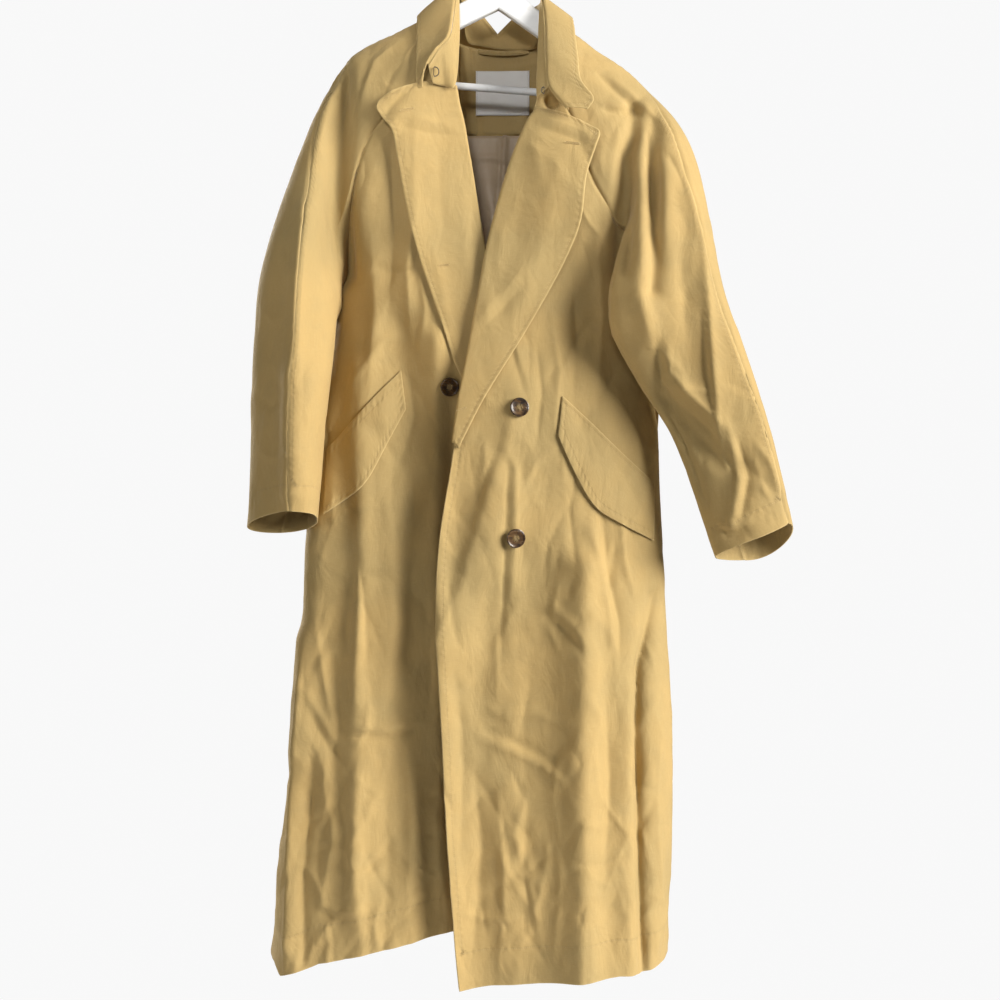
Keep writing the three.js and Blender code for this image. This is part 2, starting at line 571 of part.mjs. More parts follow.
function collarLeaf() {
  const rows = COLLAR.slice(...LEAF_ROWS);
  return Array.from({ length: COLLAR_CELLS + 1 }, (_, j) => {
    const at = ((rows.length - 1) * j) / COLLAR_CELLS;
    const crest = through(rows.map((row) => row.crest), at);
    const fall = through(rows.map((row) => row.fall), at);
    const out = unit([crest[0] - NECK_MIDDLE[0], crest[1] - NECK_MIDDLE[1], 0]);
    const start = add(crest, add(times(out, LEAF_CLEAR), [0, 0, LEAF_CLEAR]));
    const startPull = add(times(out, LEAF_PULLS.out), [0, 0, LEAF_PULLS.up]);
    return [0, 1, 2, 3, 4].map((i) => bow(start, startPull, [0, 0, LEAF_PULLS.fall], fall, i / 4));
  });
}
place('collar_stand', gridWall(flipRows(collarStand()), FACED), 'cloth');
place('collar_leaf', gridWall(collarLeaf(), FACED), 'cloth');

// Inside the back neck: facing, lining, label and hanging loop.
function insideBack(panel, rows, columns, depth) {
  const at = (x, z) => {
    const found = onto(x, z, ['back', 'right_sleeve_back', 'left_sleeve_back'], true);
    return add(found.point, times(found.normal, -depth));
  };
  return Array.from({ length: rows + 1 }, (_, j) => Array.from({ length: columns + 1 }, (__, i) => at(
    panel.right + ((panel.left - panel.right) * i) / columns,
    panel.top + ((panel.low - panel.top) * j) / rows)));
}
const LINED = CLOTH / 2 + LINING / 2 + 2 * SEAM_GAP;
const LINING_HANG = 3.2;      // the lining hangs this much further in than the facing
const LABEL_CLEAR = 0.5;      // between the facing and the label
const LOOP_CELLS = 8;
const LOOP_BOW = 4;           // of the loop, away from the facing at its middle
place('back_neck_facing', gridWall(insideBack(FACING, 5, 6, LINED), LINING), 'cloth');
place('back_lining', gridWall(insideBack(LINING_PANEL, 10, 10, LINED + LINING_HANG), LINING), 'lining');
place('neck_label', gridWall(insideBack(LABEL, 3, 4, LINED + LINING + LABEL_CLEAR), LINING), 'label');
const FACING_SHOULDER = -160; // no height above this is used to find the back behind the loop
const loopGrid = Array.from({ length: LOOP_CELLS + 1 }, (_, j) => {
  const t = j / LOOP_CELLS;
  const x = LOOP.right + (LOOP.left - LOOP.right) * t;
  const top = LOOP.height - LOOP.sag * Math.sin(Math.PI * t);
  return [0, 1].map((i) => {
    const z = top - LOOP.width * i;
    const found = onto(x, Math.min(z, FACING_SHOULDER), ['back'], true);
    return [x, found.point[1] - LINED - LINING - SEAM_GAP - LOOP_BOW * Math.sin(Math.PI * t), z];
  });
});
place('hanging_loop', gridWall(flipRows(loopGrid), LINING), 'cloth');

// ---- hard pieces ----------------------------------------------------------------------------
function turned(shape, options, matrix) {
  const geometry = new THREE.ExtrudeGeometry(shape, { bevelEnabled: false, ...options });
  geometry.applyMatrix4(matrix);
  return geometry;
}

function solidOf(geometry) {
  const flat = geometry.index ? geometry.toNonIndexed() : geometry;
  const position = flat.getAttribute('position');
  const seen = new Map();
  const vertProperties = [];
  const triVerts = [];
  for (let i = 0; i < position.count; i += 1) {
    const p = [position.getX(i), position.getY(i), position.getZ(i)];
    const id = p.map((v) => v.toFixed(4)).join();
    if (!seen.has(id)) {
      seen.set(id, vertProperties.length / 3);
      vertProperties.push(...p);
    }
    triVerts.push(seen.get(id));
  }
  return new wasm.Manifold(new wasm.Mesh({
    numProp: 3, vertProperties: Float32Array.from(vertProperties), triVerts: Uint32Array.from(triVerts),
  }));
}

function geometryOf(solid) {
  const mesh = solid.getMesh();
  const geometry = new THREE.BufferGeometry();
  const places = Float32Array.from(mesh.vertProperties);
  geometry.setAttribute('position', new THREE.Float32BufferAttribute(places, 3));
  geometry.setIndex(Array.from(mesh.triVerts));
  return geometry;
}

// The hanger lies in its own plane and is then tilted about the middle of its board.
const hangerPlane = new THREE.Matrix4()
  .makeTranslation(HANGER_TOP[0], 0, HANGER_TOP[1])
  .multiply(new THREE.Matrix4().makeRotationY((HANGER_TILT * Math.PI) / 180));

function hangerBoard() {
  const outline = new THREE.Shape();
  const steps = 9;
  const rise = ARM_HEIGHT / Math.cos((ARM_SLOPE * Math.PI) / 180);
  outline.moveTo(0, armTop(6) + 0.8);
  for (let i = 1; i <= steps; i += 1) {
    outline.lineTo((ARM_REACH * i) / steps, armTop((ARM_REACH * i) / steps));
  }
  outline.lineTo(ARM_REACH + 1, armTop(ARM_REACH) - rise * 0.6);
  outline.lineTo(ARM_REACH - 6, armTop(ARM_REACH) - rise * 0.95);
  for (let i = steps - 1; i >= 0; i -= 1) {
    outline.lineTo((ARM_REACH * i) / steps, armTop((ARM_REACH * i) / steps) - rise);
  }
  for (let i = 1; i < steps; i += 1) {
    outline.lineTo((-ARM_REACH * i) / steps, armTop((ARM_REACH * i) / steps) - rise);
  }
  outline.lineTo(-ARM_REACH + 6, armTop(ARM_REACH) - rise * 0.95);
  outline.lineTo(-ARM_REACH - 1, armTop(ARM_REACH) - rise * 0.6);
  for (let i = steps; i >= 1; i -= 1) {
    outline.lineTo((-ARM_REACH * i) / steps, armTop((ARM_REACH * i) / steps));
  }
  const bevel = 3;
  const upright = new THREE.Matrix4().makeRotationX(Math.PI / 2);
  const centred = new THREE.Matrix4().makeTranslation(0, BOARD / 2 - bevel, 0);
  return turned(outline, { depth: BOARD - 2 * bevel, bevelEnabled: true, bevelThickness: bevel,
    bevelSize: bevel, bevelOffset: -bevel, bevelSegments: 2, curveSegments: 1 },
  hangerPlane.clone().multiply(centred).multiply(upright));
}

// The trouser bar runs between the arms, its ends let into the board.
const BAR_REACH = 176;

function roundBar(radius, half, matrix) {
  const bar = new THREE.CylinderGeometry(radius, radius, 2 * half, 16);
  bar.applyMatrix4(new THREE.Matrix4().makeRotationZ(Math.PI / 2));
  bar.applyMatrix4(matrix);
  return bar;
}
const barPlace = hangerPlane.clone().multiply(new THREE.Matrix4().makeTranslation(0, 0, -BAR_DROP));
const socket = solidOf(roundBar(BAR_RADIUS + SEAM_GAP, BAR_REACH + SEAM_GAP, barPlace));
place('hanger_board', geometryOf(solidOf(hangerBoard()).subtract(socket)), 'hanger');
place('trouser_bar', roundBar(BAR_RADIUS, BAR_REACH, barPlace), 'hanger');

// The hook's wire rises from the board and turns over in a crook.
function hangerHook() {
  const centre = [0, -HOOK_RADIUS];
  const radius = HOOK_RADIUS + HOOK_WIRE / 2;
  const path = [];
  for (let angle = 200; angle >= -50; angle -= 12.5) {
    const a = (angle * Math.PI) / 180;
    path.push(new THREE.Vector3(centre[0] + radius * Math.cos(a), 0, centre[1] + radius * Math.sin(a)));
  }
  path.push(new THREE.Vector3(4, 0, -50), new THREE.Vector3(-6, 0, -60), new THREE.Vector3(-8, 0, -77));
  const circle = new THREE.Shape();
  circle.absarc(0, 0, HOOK_WIRE / 2, 0, 2 * Math.PI);
  return new THREE.ExtrudeGeometry(circle, {
    extrudePath: new THREE.CatmullRomCurve3(path), steps: 44, curveSegments: 5, bevelEnabled: false });
}
place('hanger_hook', hangerHook(), 'metal');

// Buttons: a rimmed disc turned on its own axis, laid on the front that carries it.
function buttonGeometry(at, piece, shank = BUTTON_SHANK) {
  const r = BUTTON_RADIUS;
  const h = BUTTON_THICKNESS;
  const profile = [
    [0, 0], [r * 0.8, 0], [r, h * 0.35], [r, h * 0.75], [r * 0.88, h], [r * 0.7, h * 0.7], [0, h * 0.6],
  ];
  const disc = new THREE.LatheGeometry(profile.map(([a, b]) => new THREE.Vector2(a, b)), 20);
  const found = onto(at[0], at[1], [piece]);
  const seat = add(found.point, times(found.normal, CLOTH / 2 + SEAM_GAP + shank));
  const axis = new THREE.Vector3(0, 1, 0);
  const turn = new THREE.Quaternion().setFromUnitVectors(axis, new THREE.Vector3(...found.normal));
  disc.applyMatrix4(new THREE.Matrix4().compose(
    new THREE.Vector3(...seat), turn, new THREE.Vector3(1, 1, 1)));
  return disc;
}
for (const { name, at, on, shank } of BUTTONS) place(name, buttonGeometry(at, on, shank), 'button');

// Hook and eye at the collar's ends.
function wireRing(width, height, wire, matrix) {
  const ring = new THREE.Shape();
  ring.moveTo(-width / 2, -height / 2);
  ring.lineTo(0, -height / 2);
  ring.absarc(0, 0, height / 2, -Math.PI / 2, Math.PI / 2);
  ring.lineTo(-width / 2, height / 2);
  const hole = new THREE.Path();
  hole.moveTo(-width / 2 + wire, -height / 2 + wire);
  hole.lineTo(0, -height / 2 + wire);
  hole.absarc(0, 0, height / 2 - wire, -Math.PI / 2, Math.PI / 2);
  hole.lineTo(-width / 2 + wire, height / 2 - wire);
  ring.holes.push(hole);
  return turned(ring, { depth: wire, curveSegments: 6 }, matrix);
}
const facingFront = new THREE.Matrix4().makeRotationX(Math.PI / 2);
place('collar_eye', wireRing(9, 13, 1.6, new THREE.Matrix4().makeTranslation(-92, -68.4, -213)
  .multiply(facingFront)), 'eyelet');
place('collar_hook', wireRing(6, 8, 1.6, new THREE.Matrix4().makeTranslation(50, -72.0, -238)
  .multiply(facingFront)), 'eyelet');

export default coat;
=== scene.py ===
# A long double-breasted raglan trench coat, hung open at the neck on a flat clothes hanger.
# Lengths are in millimetres until a mesh is made. "right" and "left" are the wearer's.
import math

import bpy
import numpy as np
from mathutils import Matrix, Vector, noise
from mathutils.bvhtree import BVHTree


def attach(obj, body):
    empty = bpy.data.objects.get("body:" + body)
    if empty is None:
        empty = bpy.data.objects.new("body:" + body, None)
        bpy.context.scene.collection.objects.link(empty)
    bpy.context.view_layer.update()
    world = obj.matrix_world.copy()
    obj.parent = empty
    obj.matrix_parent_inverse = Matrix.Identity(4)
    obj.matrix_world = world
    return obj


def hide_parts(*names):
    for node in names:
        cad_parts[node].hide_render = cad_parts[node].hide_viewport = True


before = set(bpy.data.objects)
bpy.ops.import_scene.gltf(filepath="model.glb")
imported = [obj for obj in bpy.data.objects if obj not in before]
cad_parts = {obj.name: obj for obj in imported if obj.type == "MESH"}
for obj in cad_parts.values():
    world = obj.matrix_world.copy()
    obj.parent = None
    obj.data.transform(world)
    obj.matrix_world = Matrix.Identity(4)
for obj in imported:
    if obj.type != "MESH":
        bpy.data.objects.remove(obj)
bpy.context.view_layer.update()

MM = 0.001
CLOTH = 1.5               # wall of the cotton cloth
FACED = 2.0               # wall of the faced pieces: lapels, collar, flaps
LINING = 1.0              # wall of the lining, facing and loop
CLEAR = 0.3               # left between pieces that lie on each other
TOP_CELLS = 100           # grid cells from the neck to the underarm
BODY_CELLS = 196          # from the underarm to the hem
SLEEVE_CELLS = 78         # from the underarm to the cuff
FRONT_COLUMNS = 130
BACK_COLUMNS = 122
SLEEVE_COLUMNS = 66
UNDERARM_ROW = 4          # row of every table where the sleeve leaves the body
CROWD = [0.004, 0.011, 0.021]   # extra columns beside a seam, as parts of the width
HEM_CROWD = [0.018, 0.006, 0]   # extra rows above the hem, as parts of a table's row
COLUMNS_IN, ROWS_IN = 6, 4      # grid cells that lead past the crowded ones at a border

# The hanger's upper edge, which carries the shoulders: how its arms slope and droop, how it is tilted,
# x and z of its top, and how far above it the overarm seams lie.
ARM_SLOPE = math.tan(math.radians(30))
ARM_DROOP = 0.00021
HANGER_TILT = math.radians(4.5)
HANGER_TOP = [-6, -75]
SHOULDER_REST = 3.0


def arm_top(reach):
    return -ARM_SLOPE * reach - ARM_DROOP * reach * reach


def board_top(x):
    """Height of the hanger's upper edge at x, in its tilted place."""
    along = x - HANGER_TOP[0]
    for _ in range(6):
        along = (x - HANGER_TOP[0] - math.sin(HANGER_TILT) * arm_top(abs(along))) / math.cos(HANGER_TILT)
    return HANGER_TOP[1] - math.sin(HANGER_TILT) * along + math.cos(HANGER_TILT) * arm_top(abs(along))


def shoulder(x):
    return [x, 0, board_top(x) + SHOULDER_REST]


def rows_of(columns, *rows):
    """A table's rows as dicts, with its columns named once. A short row leaves out the last ones."""
    return [dict(zip(columns.split(), row)) for row in rows]


def folds(*rows, tapered=True):
    """Folds on the front or back, from rows of height (negative is a trough), half width, crispness
    (2 is a soft roll, near 1 a pressed crease), then x and z of each point of the fold's line."""
    return [dict(height=row[0], width=row[1], crisp=row[2], line=list(zip(row[3::2], row[4::2])),
                 tapered=tapered) for row in rows]


# Where the sleeves' seams meet the fronts and the back, row by row, and the side seams below.
RIGHT_RAGLAN = rows_of(
    "front back",
    ((-80, -42, -172), (-70, 36, -140)), ((-125, -50, -232), (-115, 44, -215)),
    ((-180, -52, -298), (-160, 48, -290)), ((-207, -46, -398), (-200, 42, -400)),
    ((-226, 5, -520), (-226, 5, -520)))
LEFT_RAGLAN = rows_of(
    "front back",
    ((62, -42, -185), (56, 38, -150)), ((88, -50, -270), (95, 46, -235)),
    ((114, -54, -347), (130, 50, -320)), ((150, -50, -412), (165, 46, -420)),
    ((206, -2, -530), (206, -2, -530)))
RIGHT_SIDE = [(-257, 18, -700), (-270, 14, -900), (-284, 5, -1100), (-300, 0, -1245), (-312, 0, -1374)]
LEFT_SIDE = [(208, 18, -700), (217, 14, -905), (226, 8, -1090), (224, 2, -1240), (218, 0, -1372)]

# Sleeves: the overarm seam, the underarm seam below the raglan, and the pulls that bow each
# half between them, at the overarm seam (top) and at the other seam (low).
RIGHT_SLEEVE = rows_of(
    "over front_top front_low back_top back_low under",
    (shoulder(-64), (0, -22, 0), (0, 0, 20), (0, 20, 0), (0, 0, 14)),
    (shoulder(-135), (0, -28, 0), (0, -4, 34), (0, 26, 0), (0, 2, 32)),
    (shoulder(-210), (0, -34, -2), (0, -8, 45), (-14, 34, 0), (-12, 4, 52)),
    ((-246, -42, -272), (8, -30, -30), (-6, -16, 30), (-42, 36, -6), (-58, 8, 46)),
    ((-257, -98, -420), (26, 4, -20), (18, -34, 10), (-92, 26, -6), (-112, 44, 4)),
    ((-264, -116, -560), (46, 26, 0), (56, -14, 0), (-84, 56, 0), (-96, 14, 0), (-262, -12, -580)),
    ((-268, -118, -690), (46, 28, 0), (52, -10, 0), (-78, 58, 0), (-88, 12, 0), (-280, -8, -700)),
    ((-272, -114, -784), (46, 24, -4), (54, -8, 4), (-62, 40, -6), (-76, 6, -2), (-298, -14, -814)))
LEFT_SLEEVE = rows_of(
    "over front_top front_low back_top back_low under",
    (shoulder(53), (0, -22, 0), (0, 0, 24), (0, 20, 0), (0, 0, 12)),
    (shoulder(118), (0, -28, -2), (0, -2, 44), (0, 26, 0), (0, 2, 30)),
    (shoulder(182), (0, -36, 0), (6, -8, 52), (34, 34, -8), (26, 4, 54)),
    ((224, -58, -303), (-12, -24, -24), (4, -22, 40), (60, 32, 6), (72, 8, 60)),
    ((266, -94, -490), (-62, -20, 0), (-158, -124, 6), (44, 22, 0), (72, 42, 0)),
    ((300, -100, -588), (-60, -12, -4), (-148, -60, 0), (44, 30, 0), (62, 36, 0), (232, -24, -612)),
    ((333, -100, -678), (-50, -10, -6), (-128, -44, 0), (30, 30, 0), (50, 26, 0), (278, -28, -705)),
    ((366, -84, -800), (-34, -22, -22), (-104, -42, 0), (26, 22, -6), (44, 22, -4), (318, -28, -850)))

# Fronts: the inner edge (neck, roll line, then front edge) and the pulls at each end of a row.
RIGHT_FRONT = rows_of(
    "edge side inner",
    ((-66, -52, -184), (4, -4, -2), (-4, 0, 2)), ((-64, -49, -238), (20, -2, 0), (-20, 0, 0)),
    ((-50, -45, -300), (40, -8, 0), (-40, -4, 0)), ((-37, -44, -390), (50, -14, 0), (-50, -8, 0)),
    ((-18, -48, -490), (34, -58, 0), (-90, -10, 0)), ((49, -50, -705), (8, -92, 0), (-120, -4, 0)),
    ((58, -50, -900), (10, -94, 0), (-120, -6, 0)), ((58, -54, -1090), (8, -106, 0), (-120, -12, 0)),
    ((52, -60, -1225), (6, -120, 0), (-120, -18, 0)),
    ((42, -64, -1318), (6, -138, -22), (-120, -20, 0)))
LEFT_FRONT = rows_of(
    "edge side inner",
    ((50, -54, -196), (-4, -4, -2), (4, 0, 2)), ((40, -54, -250), (-14, -4, 0), (14, 0, 0)),
    ((13, -54, -320), (-30, -8, 0), (30, -4, 0)), ((-8, -56, -400), (-44, -14, 0), (44, -8, 0)),
    ((-35, -64, -515), (-62, -16, 0), (80, -6, 0)), ((-68, -70, -712), (-8, -84, 0), (110, -2, 0)),
    ((-89, -70, -880), (-8, -92, 0), (110, -4, 0)), ((-80, -84, -1100), (-6, -104, 0), (110, -6, 0)),
    ((-71, -95, -1250), (-4, -120, 0), (110, -8, 0)),
    ((-57, -104, -1395), (-4, -134, -4), (110, -6, 10)))
BACK = rows_of(
    "right left",
    ((30, 22, -8), (-30, 22, -6)), ((44, 16, 0), (-44, 14, 0)), ((70, 12, 0), (-70, 10, 0)),
    ((90, 24, 0), (-90, 20, 0)), ((40, 64, 0), (-40, 70, 0)), ((20, 54, 0), (-20, 56, 0)),
    ((14, 62, 0), (-14, 62, 0)), ((10, 88, 0), (-10, 84, 0)), ((8, 106, 0), (-8, 102, 0)),
    ((8, 116, 0), (-8, 112, 0)))

# Largest folds, which run out of the cloth without tapering.
FRONT_FOLDS = folds(
    (-20, 16, 2, -222, -200, -216, -330, -215, -470), (7, 16, 2, -255, -400, -268, -560, -272, -760),
    (13, 22, 2, -268, -960, -277, -1217, -276, -1400), (-8, 22, 2, -138, -540, -132, -800, -138, -1240),
    (7, 17, 2, -194, -600, -188, -850, -198, -1300), (13, 24, 2, -250, -620, -252, -850, -264, -1100),
    (-10, 12, 2, 172, -250, 160, -340, 150, -470), (-8, 13, 2, 196, -262, 196, -360, 186, -500),
    (-8, 14, 2, 200, -640, 245, -690, 290, -730),
    (-9, 13, 2, 199, -900, 174, -1000, 173, -1160, 177, -1390),
    (7, 26, 2, 0, -760, -30, -860, -60, -960), (-6, 30, 2, 34, -860, 36, -1080, 38, -1390),
    (-9, 34, 2, -26, -900, -26, -1150, -22, -1390), (16, 22, 2, 104, -860, 97, -1100, 100, -1390),
    (9, 17, 2, -90, -560, -87, -900, -80, -1150, -70, -1390), tapered=False)
# The wearer's right front alone sinks in under the other's edge.
RECESS = folds((-19, 44, 2, -84, -640, -72, -820, -68, -1330), tapered=False)
BACK_FOLDS = folds(
    (11, 40, 2, -190, -420, -180, -800, -200, -1380), (-12, 38, 2, -110, -500, -100, -900, -120, -1380),
    (10, 42, 2, -30, -620, -35, -1000, -40, -1380), (-12, 40, 2, 60, -560, 70, -900, 60, -1380),
    (11, 40, 2, 150, -430, 140, -900, 150, -1380), tapered=False)

# Lapels: x and z of the roll line and of the free edge.
RIGHT_LAPEL = rows_of(
    "roll free lift",
    ((-67, -226), (-146, -236), 11), ((-65, -238), (-161, -246), 11), ((-63, -250), (-168, -258), 11),
    ((-59, -266), (-160, -272), 11), ((-55, -286), (-147, -290), 11), ((-48, -326), (-140, -326), 9),
    ((-36, -400), (-126, -400), 7), ((-25, -455), (-109, -462), 4.5), ((-6, -530), (-82, -541), 1),
    ((14, -600), (-58, -607), 0), ((32, -655), (-12, -664), 0), ((46, -698), (36, -706), 0))
LEFT_LAPEL = rows_of(
    "roll free lift",
    ((45, -257), (114, -285), 18), ((41, -264), (123, -294), 21), ((32, -278), (117, -314), 23),
    ((12, -327), (105, -352), 23), ((-7, -390), (98, -408), 20), ((-23, -455), (82, -450), 15),
    ((-37, -530), (56, -500), 9), ((-49, -590), (20, -562), 2), ((-59, -640), (-26, -636), 0),
    ((-67, -696), (-61, -704), 0))

# Collar: the neck seam, the crest where the collar turns over, and the free edge of its leaf.
COLLAR = rows_of(
    "seam crest fall",
    ((-94, -63, -227), (-100, -68, -205), (-107, -63, -231)),
    ((-80, -60, -229), (-87, -66, -183), (-115, -61, -231)),
    ((-65, -62, -228), (-73, -59, -165), (-116, -59, -212)),
    ((-60, -42, -164), (-68, -36, -126), (-116, -48, -177)),
    ((-61, -11, -98), (-65, -12, -86), (-117, -16, -127)),
    ((-58, 11, -98), (-59, 8, -76), (-116, 6, -123)),
    ((-52, 34, -139), (-50, 30, -90), (-100, 44, -146)),
    ((-34, 47, -143), (-32, 48, -102), (-58, 76, -160)),
    ((-8, 49, -147), (-10, 52, -128), (-10, 84, -182)),
    ((24, 47, -149), (16, 48, -104), (44, 76, -166)), ((42, 34, -147), (42, 30, -97), (84, 46, -152)),
    ((48, 11, -113), (48, 8, -99), (90, 8, -128)), ((46, -11, -114), (51, -12, -101), (91, -18, -130)),
    ((43, -44, -178), (54, -37, -146), (95, -56, -188)),
    ((41, -60, -222), (54, -58, -190), (98, -76, -226)),
    ((41, -68, -246), (57, -72, -233), (114, -85, -251)), (None, (79, -84, -266), (106, -86, -267)))
STAND_ROWS = 16           # rows of the collar that the stand spans; the leaf spans them all

# Pocket flaps: x and z of the sewn upper line and of the free lower edge.
RIGHT_FLAP = rows_of(
    "top low",
    ((-137, -599), (-131, -650)), ((-160, -622), (-152, -690)), ((-188, -652), (-182, -746)),
    ((-214, -680), (-214, -772)), ((-236, -702), (-240, -789)))
LEFT_FLAP = rows_of(
    "top low",
    ((75, -634), (69, -686)), ((108, -664), (90, -733)), ((142, -697), (117, -778)),
    ((174, -726), (152, -801)), ((200, -748), (198, -824)))

# Inside the neck: x and z of the corners of the pieces against the back.
FACING = dict(top=-151, low=-264, right=-62, left=48, rise=5)
LINING_PANEL = dict(top=-266, low=-560, right=-150, left=135)
LABEL = dict(top=-177, low=-238, right=-40, left=34)
LOOP = dict(right=-37, left=33, height=-147, width=7, sag=3, below_seam=-162, stand=1.5, belly=3.4,
            round=0.7)

# Buttons and buttonholes: x and z on the cloth, how they are turned and a hole's scale.
BUTTONS = rows_of(
    "name side at turn",
    ("button_left_front_upper", "left", (18, -650), 0.35),
    ("button_left_front_lower", "left", (13, -819), 0.35),
    ("button_right_front_upper", "right", (-74, -620), -0.2),
    ("button_right_front_lower", "right", (-60, -789), -0.2))
HOLES = rows_of(
    "name side at turn scale",
    ("lapel_hole_right", "right", (-128, -262), 0.28, 0.85),
    ("lapel_hole_left", "left", (87, -308), -0.12, 0.9),
    ("lower_hole_right", "right", (-80, -463), 0.12, 0.6),
    ("lower_hole_left", "left", (-57, -652), 0.3, 0.6))

